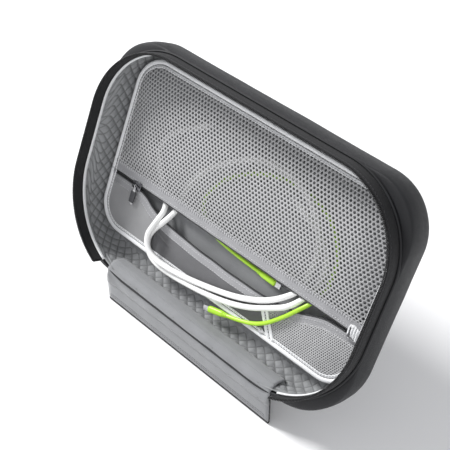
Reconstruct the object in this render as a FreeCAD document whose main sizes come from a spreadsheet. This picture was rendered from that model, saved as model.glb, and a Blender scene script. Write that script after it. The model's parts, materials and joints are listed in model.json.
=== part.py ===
import FreeCAD, Part
import math
import os

import Sketcher

# The lid of a soft trolley bag with a zipped mesh cable pocket on its inside, drawn open.
#
# Lid frame: x along the hinge, y from the hinge side to the front edge, z out of the mouth.
# z is 0 at the free edge of the rim, and the lid is hollow towards it.
# Row frame: x along the hinge, -Y to the front of the bag, +Z up, origin on the sewing
# flange's flat face. Placement turns the lid frame into the row frame, in millimetres.

DRIVING = {
    # lid plan and depth
    "rim_width": 350,
    "rim_reach": 228,
    "rim_front_round": 75,
    "rim_rear_round": 90,
    "rim_height": 18,
    "shell_depth": 60,
    "shell_bulge": 1.5,
    "shell_front_round": 52,
    "shell_rear_round": 64,
    "seam_round": 2.5,
    "back_round": 18,
    # layers of the shell
    "cover_skin": 1.6,
    "foam_skin": 4,
    "lining_skin": 2,
    "board_skin": 1.6,
    "back_lining_skin": 1,
    "layer_gap": 0.3,
    # main zip's lid half
    "tape_skin": 1,
    "coil_width": 2.4,
    "coil_height": 2.2,
    "binding_skin": 1.2,
    "binding_height": 7,
    "piping_width": 2,
    "zip_gap_half": 118,
    # hinge
    "open_angle": 115,
    "flange_half": 110,
    "flange_top": 7.5,
    "flange_height": 30,
    "flange_skin": 1.4,
    "flange_lining_skin": 1.2,
    "flange_hem": 3,
    "mount_drop": 22.5,
    # cable pocket
    "pocket_half": 163,
    "pocket_near": 27,
    "pocket_far": 212,
    "pocket_near_round": 31,
    "pocket_far_round": 34,
    "pocket_level": 41,
    "ribbon_skin": 2.4,
    "mesh_rise": 8,
    "mesh_skin": 0.8,
    "mesh_round": 7.5,
    "panel_skin": 0.8,
    # pocket zip
    "zip_line": 84,
    "zip_left": 160,
    "zip_right": 145,
    "zip_tape_width": 8.8,
    "zip_tape_skin": 0.6,
    "zip_coil_width": 1.5,
    "zip_coil_height": 1.8,
    "zip_coil_gap": 0.65,
    # slider and pull
    "slider_at": 124,
    "slider_length": 12,
    "slider_width": 9.4,
    "slider_plate": 1,
    "slider_room": 2.5,
    "slider_slot": 1.2,
    "slider_flange": 0.6,
    "slider_post": 0.6,
    "slider_lug": 1.6,
    "pull_length": 20,
    "pull_width": 6.4,
    "pull_skin": 1,
    "pull_eye": 2.6,
    "pull_eye_wall": 0.6,
    "pull_sleeve_skin": 0.5,
    "pull_running_gap": 0.08,
    "pin_round": 0.7,
    # seams, divider and stud of the lower panels
    "panel_split": 88,
    "seam_foot": 80,
    "divider_start": 7.5,
    "divider_length": 22,
    "divider_width": 8,
    "divider_skin": 0.6,
    "stud_across": 64,
    "stud_along": 33.5,
    "stud_flange_round": 3,
    "stud_flange_height": 0.7,
    "stud_knob_round": 1.9,
    "stud_knob_height": 2,
    # cables
    "white_round": 2.8,
    "green_round": 2,
    "plug_round": 3.2,
    "plug_length": 17,
    "relief_length": 5,
}

# What stands between a cable's end, its plug and the plug's metal shell.
END_GAP = 0.05

# The run of the slanted seam between the centre and the right lower panel.
SEAM_WAY = (-22, 30)

# Each cable's relief radius, and its metal shell's width, thickness and length.
WHITE_PLUG = (3.1, (6, 2.4, 7))
GREEN_PLUG = (2.6, (5, 2.2, 6))

# Where the slack lower edge of the pocket zip hangs, from the closed end to the far end.
SLACK_EDGE = [
    (-114, 0), (-92, -13), (-50, -17.3), (0, -18.6),
    (45, -18.8), (88, -14.3), (112, -3.8), (126, 0),
]

# The white charging cable, in the lid frame: out of the pocket, round over the lower
# panel, back in, once round behind the mesh and out and in again.
WHITE_ROUTE = [
    (-86, 164, -46.8), (-106, 152, -46.8), (-118, 130, -46.8), (-108, 108, -46.8),
    (-85, 82, -47.4), (-82, 64.5, -29.4), (-87, 50, -29.4), (-80, 36, -29.7),
    (-63, 31, -30), (-32, 33, -30.4), (2, 39.5, -31), (30, 47.5, -32),
    (54, 59, -33), (72, 72, -36.3), (84, 86, -47.2), (87, 104, -44.5),
    (92, 128, -39.8), (80, 158, -39.4), (48, 179, -39.4), (6, 180, -39.4),
    (-32, 156, -39.4), (-58, 130, -40), (-69, 106, -43.5), (-73.5, 82.3, -47.4),
    (-76, 69.5, -35.8), (-86, 56, -36.6), (-90, 42, -37), (-82, 29.5, -37),
    (-66, 25, -37), (-36, 27, -36.9), (8, 34, -36.8), (43, 45.5, -36.8),
    (69, 61.5, -36.8), (84, 71.5, -36.8), (93, 86, -47.2), (99, 104, -47.2),
    (99, 124, -47.2), (88, 141, -47.2), (71, 148, -47.2),
]

# The green cable, from the plug that lies on the lower panel, through the pocket and back
# to the plug that lies in the mouth.
GREEN_ROUTE = [
    (27, 26.5, -37), (47, 31.5, -37.2), (66, 42, -37.4), (81, 58, -37.6),
    (94.5, 75.5, -38), (102.5, 87.7, -47), (109, 108, -47.6), (107, 136, -47.6),
    (89, 160, -47.6), (55, 172, -47.6), (15, 168, -47.6), (-20, 150, -47.6),
    (-44, 124, -47.6), (-48, 100, -47.6), (-26, 83.5, -47.4), (6, 79.5, -47.2),
    (36, 79, -47.1),
]

UP = FreeCAD.Vector(0, 0, 1)
ACROSS = FreeCAD.Vector(1, 0, 0)


class Size:
    """A length as its number and as the spreadsheet expression that gives it."""

    def __init__(self, number, text):
        self.number = number
        self.text = text

    def join(self, other, sign, number):
        return Size(number, f"({self.text} {sign} {text_of(other)})")

    def __add__(self, other):
        return self.join(other, "+", self.number + number_of(other))

    def __sub__(self, other):
        return self.join(other, "-", self.number - number_of(other))

    def __mul__(self, other):
        return self.join(other, "*", self.number * number_of(other))

    def __truediv__(self, other):
        return self.join(other, "/", self.number / number_of(other))

    def __neg__(self):
        return Size(-self.number, f"(-{self.text})")


def number_of(size):
    return size.number if isinstance(size, Size) else size


def text_of(size):
    return size.text if isinstance(size, Size) else repr(size)


os.makedirs("parts", exist_ok=True)
doc = FreeCAD.newDocument("CablePocketLid")
sheet = doc.addObject("Spreadsheet::Sheet", "Sizes")
dim = {}
for row, (alias, number) in enumerate(DRIVING.items(), start=1):
    sheet.set(f"A{row}", alias)
    sheet.set(f"B{row}", str(number))
    sheet.setAlias(f"B{row}", alias)
    dim[alias] = Size(number, f"Sizes.{alias}")
doc.recompute()

seam = -dim["rim_height"]
shell_back = -dim["shell_depth"]
pocket_level = -dim["pocket_level"]
nodes = []


def bind(item, field, size):
    item.setExpression(field, text_of(size))


def place_in_lid(item):
    """Turn an item from the lid frame into the row frame, about the hinge line."""
    item.Placement = FreeCAD.Placement(FreeCAD.Vector(0, 0, 0), FreeCAD.Rotation(ACROSS, 1))
    tilt = f"(180 - {dim['open_angle'].text})"
    item.setExpression("Placement.Rotation.Angle", tilt)
    item.setExpression("Placement.Base.y", f"-{dim['rim_height'].text} * sin({tilt})")
    item.setExpression(
        "Placement.Base.z",
        f"{dim['mount_drop'].text} + {dim['rim_height'].text} * cos({tilt})",
    )


def lid_placement():
    """The same placement as numbers, for the shapes that Part's functions make."""
    tilt = 180 - dim["open_angle"].number
    rise = dim["rim_height"].number
    turn = math.radians(tilt)
    height = dim["mount_drop"].number + rise * math.cos(turn)
    base = FreeCAD.Vector(0, -rise * math.sin(turn), height)
    return FreeCAD.Placement(base, FreeCAD.Rotation(ACROSS, tilt))


def new_body(name):
    body = doc.addObject("PartDesign::Body", name)
    body.Label = name
    place_in_lid(body)
    nodes.append(body)
    return body


def new_sketch(body, name, role, level):
    """A sketch on one of the body's own planes, moved along its normal to level."""
    sketch = body.newObject("Sketcher::SketchObject", name)
    plane = next(f for f in body.Origin.OriginFeatures if f.Role == role)
    sketch.AttachmentSupport = [(plane, "")]
    sketch.MapMode = "FlatFace"
    bind(sketch, "AttachmentOffset.Base.z", level)
    return sketch


def constrain(sketch, name, size, *terms):
    """A sketch length bound to the sheet."""
    index = sketch.addConstraint(Sketcher.Constraint(*terms, number_of(size)))
    sketch.renameConstraint(index, name)
    bind(sketch, f"Constraints.{name}", size)


class Plan:
    """A rounded plan outline, symmetric about x = 0, with its own near and far corners."""

    def __init__(self, half, near, far, near_round, far_round):
        self.half = half
        self.near = near
        self.far = far
        self.near_round = near_round
        self.far_round = far_round

    def inset(self, by):
        return Plan(
            self.half - by, self.near + by, self.far - by,
            self.near_round - by, self.far_round - by,
        )


rim_plan = Plan(
    dim["rim_width"] / 2, dim["rim_width"] * 0, dim["rim_reach"],
    dim["rim_rear_round"], dim["rim_front_round"],
)
shell_plan = Plan(
    dim["rim_width"] / 2 + dim["shell_bulge"],
    -dim["shell_bulge"],
    dim["rim_reach"] + dim["shell_bulge"],
    dim["shell_rear_round"],
    dim["shell_front_round"],
)
pocket_plan = Plan(
    dim["pocket_half"], dim["pocket_near"], dim["pocket_far"],
    dim["pocket_near_round"], dim["pocket_far_round"],
)


def draw_plan(body, name, plan, level):
    """Four sides and four tangent corner arcs, fully constrained to the sheet."""
    sketch = new_sketch(body, name, "XY_Plane", level)
    half, near, far = plan.half.number, plan.near.number, plan.far.number
    near_round, far_round = plan.near_round.number, plan.far_round.number
    vector = FreeCAD.Vector
    quarter = math.pi / 2
    sides = [
        (vector(-half + near_round, near), vector(half - near_round, near)),
        (vector(half, near + near_round), vector(half, far - far_round)),
        (vector(half - far_round, far), vector(-half + far_round, far)),
        (vector(-half, far - far_round), vector(-half, near + near_round)),
    ]
    corners = [
        (vector(half - near_round, near + near_round), near_round, -quarter),
        (vector(half - far_round, far - far_round), far_round, 0),
        (vector(-half + far_round, far - far_round), far_round, quarter),
        (vector(-half + near_round, near + near_round), near_round, 2 * quarter),
    ]
    for start, end in sides:
        sketch.addGeometry(Part.LineSegment(start, end))
    for centre, radius, start in corners:
        circle = Part.Circle(centre, UP, radius)
        sketch.addGeometry(Part.ArcOfCircle(circle, start, start + quarter))
    for side in range(4):
        corner = 4 + side
        following = (side + 1) % 4
        sketch.addConstraint(Sketcher.Constraint("Tangent", side, 2, corner, 1))
        sketch.addConstraint(Sketcher.Constraint("Tangent", corner, 2, following, 1))
    for side, kind in enumerate(["Horizontal", "Vertical", "Horizontal", "Vertical"]):
        sketch.addConstraint(Sketcher.Constraint(kind, side))
    constrain(sketch, "near_right", plan.near_round, "Radius", 4)
    constrain(sketch, "far_right", plan.far_round, "Radius", 5)
    constrain(sketch, "far_left", plan.far_round, "Radius", 6)
    constrain(sketch, "near_left", plan.near_round, "Radius", 7)
    constrain(sketch, "right", plan.half, "DistanceX", -1, 1, 1, 1)
    constrain(sketch, "left", -plan.half, "DistanceX", -1, 1, 3, 1)
    constrain(sketch, "near", plan.near, "DistanceY", -1, 1, 0, 1)
    constrain(sketch, "far", plan.far, "DistanceY", -1, 1, 2, 1)
    return sketch


def pad(body, name, sketch, height):
    feature = body.newObject("PartDesign::Pad", name)
    feature.Profile = sketch
    bind(feature, "Length", height)
    doc.recompute()
    return feature


def pocket(body, name, sketch, depth, upwards):
    """Cut from the sketch, and stop if the cut missed the solid."""
    before = body.Shape.Volume
    feature = body.newObject("PartDesign::Pocket", name)
    feature.Profile = sketch
    feature.Reversed = upwards
    bind(feature, "Length", depth)
    doc.recompute()
    if not body.Shape.Volume < before - 1:
        raise RuntimeError(f"{body.Label}: {name} removed nothing")
    return feature


def round_edges(body, name, level, radius):
    """Fillet every edge that lies at one level of the body."""
    solid = body.Tip
    names = []
    for number, edge in enumerate(solid.Shape.Edges, start=1):
        box = edge.BoundBox
        if abs(box.ZMin - level.number) < 1e-4 and abs(box.ZMax - level.number) < 1e-4:
            names.append(f"Edge{number}")
    feature = body.newObject("PartDesign::Fillet", name)
    feature.Base = (solid, names)
    bind(feature, "Radius", radius)
    doc.recompute()


def tool_body(name):
    """A body that only shapes another one, so it isn't a sub-part and stays in the lid frame."""
    return doc.addObject("PartDesign::Body", name)


def rounded_block(name, sketcher, plan, bottom, height, bottom_round=None, top_round=None):
    """A solid block on a plan, rounded along its bottom and its top edge."""
    body = tool_body(name)
    pad(body, "Block", sketcher(body, "Outline", plan, bottom), height)
    if bottom_round is not None:
        round_edges(body, "BottomRound", bottom, bottom_round)
    if top_round is not None:
        round_edges(body, "TopRound", bottom + height, top_round)
    return body


def cut_node(name, base, *tools):
    """A sub-part made as one body with others cut out of it."""
    for count, tool in enumerate(tools, start=1):
        last = count == len(tools)
        cut = doc.addObject("Part::Cut", name if last else f"{name}_cut_{count}")
        cut.Base = base
        cut.Tool = tool
        doc.recompute()
        if not cut.Shape.Volume < base.Shape.Volume - 1:
            raise RuntimeError(f"{name}: cut {count} removed nothing")
        base = cut
    base.Label = name
    place_in_lid(base)
    nodes.append(base)


def ring(name, plan, skin, bottom, height):
    """A closed band that stands on a plan, skin thick towards the inside."""
    body = new_body(name)
    pad(body, "Band", draw_plan(body, "Outside", plan, bottom), height)
    pocket(body, "Hollow", draw_plan(body, "Inside", plan.inset(skin), bottom), height, True)
    return body


def cut_band(body, name, half, near, far, bottom, height):
    """Take a box out of a band, from near to far, half either side of the middle."""
    sketch = new_sketch(body, f"{name}Outline", "XY_Plane", bottom)
    half_n, near_n, far_n = number_of(half), number_of(near), number_of(far)
    points = [(-half_n, near_n), (half_n, near_n), (half_n, far_n), (-half_n, far_n)]
    for side in range(4):
        start, end = points[side], points[(side + 1) % 4]
        sketch.addGeometry(Part.LineSegment(FreeCAD.Vector(*start), FreeCAD.Vector(*end)))
    for side in range(4):
        sketch.addConstraint(Sketcher.Constraint("Coincident", side, 2, (side + 1) % 4, 1))
        kind = "Horizontal" if side % 2 == 0 else "Vertical"
        sketch.addConstraint(Sketcher.Constraint(kind, side))
    constrain(sketch, "right", half, "DistanceX", -1, 1, 1, 1)
    constrain(sketch, "left", -half, "DistanceX", -1, 1, 3, 1)
    constrain(sketch, "near", near, "DistanceY", -1, 1, 0, 1)
    constrain(sketch, "far", far, "DistanceY", -1, 1, 2, 1)
    pocket(body, name, sketch, height, True)


# ---- shell ------------------------------------------------------------------------------


def make_outer_cover():
    height = dim["shell_depth"] - dim["rim_height"]
    skin = dim["cover_skin"]
    block = rounded_block(
        "cover_block", draw_plan, shell_plan, shell_back, height,
        dim["back_round"], dim["seam_round"],
    )
    room = rounded_block(
        "cover_room", draw_plan, shell_plan.inset(skin), shell_back + skin, height - skin * 2,
        dim["back_round"] - skin, dim["seam_round"] - skin,
    )
    mouth = rounded_block(
        "cover_mouth", draw_plan, rim_plan, seam - dim["seam_round"], dim["seam_round"] * 2,
    )
    cut_node("outer_cover", block, room, mouth)


def make_foam_liner():
    outset = dim["cover_skin"] + dim["layer_gap"]
    plan = shell_plan.inset(outset)
    floor = shell_back + outset
    height = dim["shell_depth"] - dim["rim_height"] - outset * 2
    block = rounded_block(
        "foam_block", draw_plan, plan, floor, height,
        dim["back_round"] - outset, dim["seam_round"] - outset,
    )
    skin = dim["foam_skin"]
    room = rounded_block(
        "foam_room", draw_plan, plan.inset(skin), floor + skin, height,
        dim["back_round"] - outset - skin,
    )
    cut_node("foam_liner", block, room)


lining_outset = dim["cover_skin"] + dim["foam_skin"] + dim["layer_gap"] * 2
lining_floor = shell_back + lining_outset
lining_round = dim["back_round"] - lining_outset
board_plan = shell_plan.inset(lining_outset + lining_round - dim["lining_skin"])


def make_side_lining():
    plan = shell_plan.inset(lining_outset)
    height = seam - lining_floor - dim["cover_skin"] - dim["layer_gap"] * 4
    skin = dim["lining_skin"]
    block = rounded_block("lining_block", draw_plan, plan, lining_floor, height, lining_round)
    room = rounded_block(
        "lining_room", draw_plan, plan.inset(skin), lining_floor + skin, height,
        lining_round - skin,
    )
    hole = rounded_block(
        "lining_hole", draw_plan, board_plan.inset(-dim["layer_gap"]), lining_floor - skin,
        skin * 4,
    )
    cut_node("side_lining", block, room, hole)


def make_back_panel():
    board = new_body("stiffener_board")
    pad(board, "Sheet", draw_plan(board, "BoardPlan", board_plan, lining_floor), dim["board_skin"])
    lining = new_body("back_lining")
    level = lining_floor + dim["lining_skin"] + dim["layer_gap"]
    plan = board_plan.inset(dim["layer_gap"])
    pad(lining, "Sheet", draw_plan(lining, "LiningPlan", plan, level), dim["back_lining_skin"])


def box_node(name, corner, edges, in_lid=True):
    """A plain block, by its low corner and its three edge lengths."""
    block = doc.addObject("Part::Box", f"{name}_block" if in_lid else name)
    for field, size in zip(["Length", "Width", "Height"], edges):
        bind(block, field, size)
    for axis, size in zip("xyz", corner):
        bind(block, f"Placement.Base.{axis}", size)
    if not in_lid:
        nodes.append(block)
        return
    holder = doc.addObject("Part::Compound", name)
    holder.Links = [block]
    place_in_lid(holder)
    nodes.append(holder)


def make_hinge_lining():
    """The plain lining strip that covers the quilting along the hinge side."""
    near = lining_outset + dim["lining_skin"] + dim["layer_gap"] - dim["shell_bulge"]
    top = seam - dim["cover_skin"] - dim["layer_gap"] * 4
    height = dim["shell_depth"] / 4
    box_node(
        "hinge_lining",
        [-dim["flange_half"], near, top - height],
        [dim["flange_half"] * 2, dim["back_lining_skin"], height],
    )


# ---- rim and main zip -------------------------------------------------------------------


def open_at_hinge(body, bottom, height):
    """The zip stops short of the hinge, so its bands are open there."""
    reach = dim["rim_rear_round"] / 3
    cut_band(body, "HingeGap", dim["zip_gap_half"], -dim["rim_height"], reach, bottom, height)


def make_rim():
    bottom = seam - dim["cover_skin"]
    top = -dim["coil_height"] - dim["layer_gap"]
    height = top - bottom
    tape = ring("main_zip_tape", rim_plan.inset(dim["layer_gap"]), dim["tape_skin"], bottom, height)
    open_at_hinge(tape, bottom, height)
    coil_height = dim["coil_height"]
    coil = ring("main_zip_coil", rim_plan, dim["coil_width"], -coil_height, coil_height)
    open_at_hinge(coil, -coil_height, coil_height)
    inside = rim_plan.inset(dim["tape_skin"] + dim["layer_gap"] * 2)
    binding = ring("lining_binding", inside, dim["binding_skin"], bottom, dim["binding_height"])
    open_at_hinge(binding, bottom, dim["binding_height"])
    width = dim["piping_width"]
    foot = seam + dim["layer_gap"]
    outside = rim_plan.inset(-width - dim["layer_gap"])
    piping = ring("rim_piping", outside, width, foot, width)
    round_edges(piping, "TopRound", foot + width, width / 2.5)


# ---- hinge flange on the bag's side -----------------------------------------------------


def make_hinge_flange():
    half, top = dim["flange_half"], dim["mount_drop"] - dim["flange_top"]
    height = dim["flange_height"]
    skin, lining = dim["flange_skin"], dim["flange_lining_skin"]
    gap, hem = dim["layer_gap"], dim["flange_hem"]
    foot, depth = top - height, skin + gap + lining
    box_node("hinge_flange_outer", [-half, -skin, foot], [half * 2, skin, height], False)
    box_node("hinge_flange_lining", [-half, -depth, foot], [half * 2, lining, height], False)
    box_node("hinge_flange_hem", [-half, -depth, foot - gap - hem], [half * 2, depth, hem], False)


# ---- cable pocket -----------------------------------------------------------------------


def make_pocket_bindings():
    """The bound edge that stands round the pocket, in a lower and an upper length."""
    floor = lining_floor + dim["lining_skin"] + dim["back_lining_skin"] + dim["layer_gap"] * 2
    height = pocket_level + dim["panel_skin"] - floor
    reach = dim["pocket_far"] * 2
    lower = ring("pocket_lower_binding", pocket_plan, dim["ribbon_skin"], floor, height)
    split = dim["zip_line"]
    cut_band(lower, "UpperPart", dim["rim_width"], split - dim["layer_gap"], reach, floor, height)
    upper = ring("pocket_upper_binding", pocket_plan, dim["ribbon_skin"], floor, height)
    cut_band(upper, "LowerPart", dim["rim_width"], -reach, split + dim["layer_gap"], floor, height)


inside_pocket = pocket_plan.inset(dim["ribbon_skin"] + dim["layer_gap"])
tape_edge = dim["zip_line"] + dim["zip_coil_gap"] + dim["zip_coil_width"] + dim["layer_gap"] / 3
mesh_near = tape_edge + dim["zip_tape_width"] + dim["layer_gap"]


def draw_arch(body, name, inset, level):
    """The mesh panel's plan: a straight edge along the zip, the pocket's far corners beyond."""
    plan = inside_pocket.inset(inset)
    half, far, radius = plan.half, plan.far, plan.far_round
    near = mesh_near + inset
    sketch = new_sketch(body, name, "XY_Plane", level)
    h, n, f, r = half.number, near.number, far.number, radius.number
    vector = FreeCAD.Vector
    quarter = math.pi / 2
    sides = [
        (vector(-h, n), vector(h, n)),
        (vector(h, n), vector(h, f - r)),
        (vector(h - r, f), vector(-h + r, f)),
        (vector(-h, f - r), vector(-h, n)),
    ]
    for start, end in sides:
        sketch.addGeometry(Part.LineSegment(start, end))
    for centre, start in [(vector(h - r, f - r), 0), (vector(-h + r, f - r), quarter)]:
        sketch.addGeometry(Part.ArcOfCircle(Part.Circle(centre, UP, r), start, start + quarter))
    sketch.addConstraint(Sketcher.Constraint("Coincident", 0, 2, 1, 1))
    sketch.addConstraint(Sketcher.Constraint("Tangent", 1, 2, 4, 1))
    sketch.addConstraint(Sketcher.Constraint("Tangent", 4, 2, 2, 1))
    sketch.addConstraint(Sketcher.Constraint("Tangent", 2, 2, 5, 1))
    sketch.addConstraint(Sketcher.Constraint("Tangent", 5, 2, 3, 1))
    sketch.addConstraint(Sketcher.Constraint("Coincident", 3, 2, 0, 1))
    for side, kind in enumerate(["Horizontal", "Vertical", "Horizontal", "Vertical"]):
        sketch.addConstraint(Sketcher.Constraint(kind, side))
    constrain(sketch, "right_round", radius, "Radius", 4)
    constrain(sketch, "left_round", radius, "Radius", 5)
    constrain(sketch, "right", half, "DistanceX", -1, 1, 1, 1)
    constrain(sketch, "left", -half, "DistanceX", -1, 1, 3, 1)
    constrain(sketch, "near", near, "DistanceY", -1, 1, 0, 1)
    constrain(sketch, "far", far, "DistanceY", -1, 1, 2, 1)
    return sketch


def make_mesh_panel():
    """The mesh as one skin that rises from the zip and the binding and bulges outwards."""
    rise, skin, radius = dim["mesh_rise"], dim["mesh_skin"], dim["mesh_round"]
    bulge = rounded_block("mesh_bulge", draw_arch, skin * 0, pocket_level, rise, None, radius)
    under = rounded_block(
        "mesh_under", draw_arch, skin, pocket_level - skin, rise, None, radius - skin,
    )
    cut_node("mesh_panel", bulge, under)


def slack_wire(drop):
    """The slack zip edge as tangent lines and arcs, drop below the coil's own line."""
    edge_y = (dim["zip_line"] - dim["zip_coil_gap"]).number
    ends = [(-dim["zip_left"].number, 0), (dim["zip_right"].number, 0)]
    corners = [ends[0], *SLACK_EDGE, ends[1]]
    points = [FreeCAD.Vector(x, edge_y + y, 0) for x, y in corners]
    return round_path(offset_points(points, drop))


def offset_points(points, drop):
    """A polyline moved drop to its right, mitred at its corners."""
    moved = []
    for index, point in enumerate(points):
        before = points[index - 1] if index else point
        after = points[index + 1] if index + 1 < len(points) else point
        runs = [(before, point), (point, after)]
        ways = [(end - start).normalize() for start, end in runs if start != end]
        way = sum(ways[1:], ways[0]).normalize()
        side = FreeCAD.Vector(way.y, -way.x, 0)
        share = 1 / max(side.dot(FreeCAD.Vector(ways[0].y, -ways[0].x, 0)), 0.5)
        moved.append(point + side * (drop * share))
    return moved


def round_path(points, radii=None):
    """Straight runs joined by tangent arcs, each as large as its two runs allow."""
    edges, start = [], points[0]
    for before, point, after in zip(points, points[1:], points[2:]):
        back, ahead = before - point, after - point
        shorter = min(back.Length, ahead.Length)
        turn = math.pi - back.getAngle(ahead)
        if turn < 1e-6:
            continue
        reach = 0.45 * shorter
        enter = point + back.normalize() * reach
        leave = point + ahead.normalize() * reach
        radius = reach / math.tan(turn / 2)
        sagitta = radius * (1 / math.cos(turn / 2) - 1)
        middle = point + (enter + leave - point * 2).normalize() * sagitta
        if (enter - start).Length > 1e-6:
            edges.append(Part.LineSegment(start, enter).toShape())
        edges.append(Part.Arc(enter, middle, leave).toShape())
        start = leave
        if radii is not None:
            radii.append(radius)
    edges.append(Part.LineSegment(start, points[-1]).toShape())
    return edges


def shape_node(name, shape):
    """A sub-part whose shape Part's functions make in the lid frame."""
    node = doc.addObject("Part::Feature", name)
    node.Label = name
    node.Shape = shape
    node.Placement = lid_placement()
    nodes.append(node)
    return node


def band_between(upper_drop, lower_drop, bottom, height):
    """A flat band between two drops below the slack edge."""
    upper, lower = slack_wire(upper_drop), slack_wire(lower_drop)
    right = Part.LineSegment(upper[-1].Vertexes[-1].Point, lower[-1].Vertexes[-1].Point).toShape()
    left = Part.LineSegment(lower[0].Vertexes[0].Point, upper[0].Vertexes[0].Point).toShape()
    face = Part.Face(Part.Wire(Part.sortEdges([*upper, right, *lower, left])[0]))
    face.translate(FreeCAD.Vector(0, 0, bottom))
    return face.extrude(FreeCAD.Vector(0, 0, height))


def make_pocket_zip():
    """Upper tape and coil are straight; the lower ones hang slack where the zip is open."""
    left, right = dim["zip_left"], dim["zip_right"]
    tape, coil = dim["zip_tape_skin"], dim["zip_coil_height"]
    coil_edge = dim["zip_line"] + dim["zip_coil_gap"]
    box_node(
        "pocket_zip_tape_upper",
        [-left, tape_edge, pocket_level - tape / 2], [left + right, dim["zip_tape_width"], tape],
    )
    box_node(
        "pocket_zip_coil_upper",
        [-left, coil_edge, pocket_level - coil / 2], [left + right, dim["zip_coil_width"], coil],
    )
    level, coil_width = pocket_level.number, dim["zip_coil_width"].number
    tape_start = coil_width + dim["layer_gap"].number / 3
    tape_end = tape_start + dim["zip_tape_width"].number
    coil_foot, tape_foot = level - coil.number / 2, level - tape.number / 2
    shape_node("pocket_zip_coil_lower", band_between(0, coil_width, coil_foot, coil.number))
    shape_node(
        "pocket_zip_tape_lower", band_between(tape_start, tape_end, tape_foot, tape.number)
    )


def make_zip_ends():
    """The closed end's stop over both coils, and the folded tape tab at the open end."""
    stop_length, tab_length = dim["slider_plate"] * 2, dim["slider_length"]
    wide = (dim["zip_coil_gap"] + dim["zip_coil_width"]) * 2
    tall = dim["layer_gap"] * 3
    stop_level = pocket_level + dim["zip_coil_height"] / 2 + dim["layer_gap"] / 3
    box_node(
        "pocket_zip_stop",
        [-dim["zip_left"] + stop_length, dim["zip_line"] - wide / 2, stop_level],
        [stop_length, wide, tall],
    )
    box_node(
        "pocket_zip_tab",
        [dim["zip_right"] + dim["layer_gap"], dim["zip_line"] - wide / 2, pocket_level - tall / 2],
        [tab_length, wide * 2, tall],
    )


def make_lower_panels():
    """Three fabric panels between the slack zip and the hinge-side binding."""
    drop = (dim["zip_coil_width"] + dim["zip_tape_width"] + dim["layer_gap"]).number
    skin = dim["panel_skin"].number
    gap = dim["layer_gap"].number
    plan = inside_pocket
    half, near, radius = plan.half.number, plan.near.number, plan.near_round.number
    level = pocket_level.number - skin / 2
    reach = dim["zip_line"].number
    block = Part.makeBox(half * 2, reach - near, skin, FreeCAD.Vector(-half, near, level))
    corner_edges = [
        e for e in block.Edges
        if e.BoundBox.ZLength > skin / 2 and e.BoundBox.YMax < near + gap
    ]
    block = block.makeFillet(radius, corner_edges)
    far_edge = slack_wire(drop)
    first, last = far_edge[0].Vertexes[0].Point, far_edge[-1].Vertexes[-1].Point
    over = [
        FreeCAD.Vector(last.x + reach, last.y, 0), FreeCAD.Vector(last.x + reach, reach * 2, 0),
        FreeCAD.Vector(first.x - reach, reach * 2, 0), FreeCAD.Vector(first.x - reach, first.y, 0),
    ]
    corners = [last, *over, first]
    closing = [Part.LineSegment(a, b).toShape() for a, b in zip(corners, corners[1:])]
    above = Part.Face(Part.Wire(Part.sortEdges([*far_edge, *closing])[0]))
    above.translate(FreeCAD.Vector(0, 0, level - skin))
    block = block.cut(above.extrude(FreeCAD.Vector(0, 0, skin * 3)))
    split = -dim["panel_split"].number
    left_seam = [(split, 0), (split, 2 * reach)]
    right_seam = [seam_point(-reach), seam_point(reach * 2)]
    bounds = {
        "lower_panel_left": ([(-2 * half, 0), (-2 * half, 2 * reach)], left_seam),
        "lower_panel_centre": (left_seam, right_seam),
        "lower_panel_right": (right_seam, [(2 * half, 0), (2 * half, 2 * reach)]),
    }
    for name, (low, high) in bounds.items():
        corners = [FreeCAD.Vector(x + gap, y, level - skin) for x, y in low]
        corners += [FreeCAD.Vector(x, y, level - skin) for x, y in reversed(high)]
        outline = Part.Face(Part.makePolygon([*corners, corners[0]]))
        slab = outline.extrude(FreeCAD.Vector(0, 0, skin * 3))
        shape_node(name, block.common(slab))


def seam_point(along):
    """A point of the slanted seam between the centre and the right panel."""
    foot = FreeCAD.Vector(dim["seam_foot"].number, dim["pocket_near"].number, 0)
    point = foot + FreeCAD.Vector(*SEAM_WAY, 0).normalize() * along
    return point.x, point.y


def make_divider():
    """The ribbon over the slanted seam, and the snap stud beside its foot."""
    level = (pocket_level + dim["panel_skin"] / 2 + dim["layer_gap"] / 2).number
    length, width = dim["divider_length"].number, dim["divider_width"].number
    corner = FreeCAD.Vector(0, -width / 2, 0)
    ribbon = Part.makeBox(length, width, dim["divider_skin"].number, corner)
    foot = FreeCAD.Vector(*seam_point(dim["divider_start"].number), level)
    turn = FreeCAD.Rotation(ACROSS, FreeCAD.Vector(*SEAM_WAY, 0))
    ribbon.Placement = FreeCAD.Placement(foot, turn)
    shape_node("divider_ribbon", Part.makeCompound([ribbon]))
    stud_at = FreeCAD.Vector(dim["stud_across"].number, dim["stud_along"].number, level)
    sizes = ["stud_flange_round", "stud_flange_height", "stud_knob_round", "stud_knob_height"]
    flange_round, flange_height, knob_round, knob_height = [dim[name].number for name in sizes]
    flange = Part.makeCylinder(flange_round, flange_height, stud_at)
    knob = Part.makeCylinder(knob_round, knob_height, stud_at)
    shape_node("snap_stud", flange.fuse(knob).removeSplitter())


# ---- slider and pull --------------------------------------------------------------------


slider_centre = FreeCAD.Vector(
    -dim["slider_at"].number, dim["zip_line"].number, pocket_level.number
)
pin_level = dim["slider_room"] / 2 + dim["slider_plate"] + dim["pin_round"] * 2


def slider_box(x, y, z, length, width, height):
    """A block of the slider, by its low corner measured from the slider's own centre."""
    return Part.makeBox(length, width, height, slider_centre + FreeCAD.Vector(x, y, z))


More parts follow.
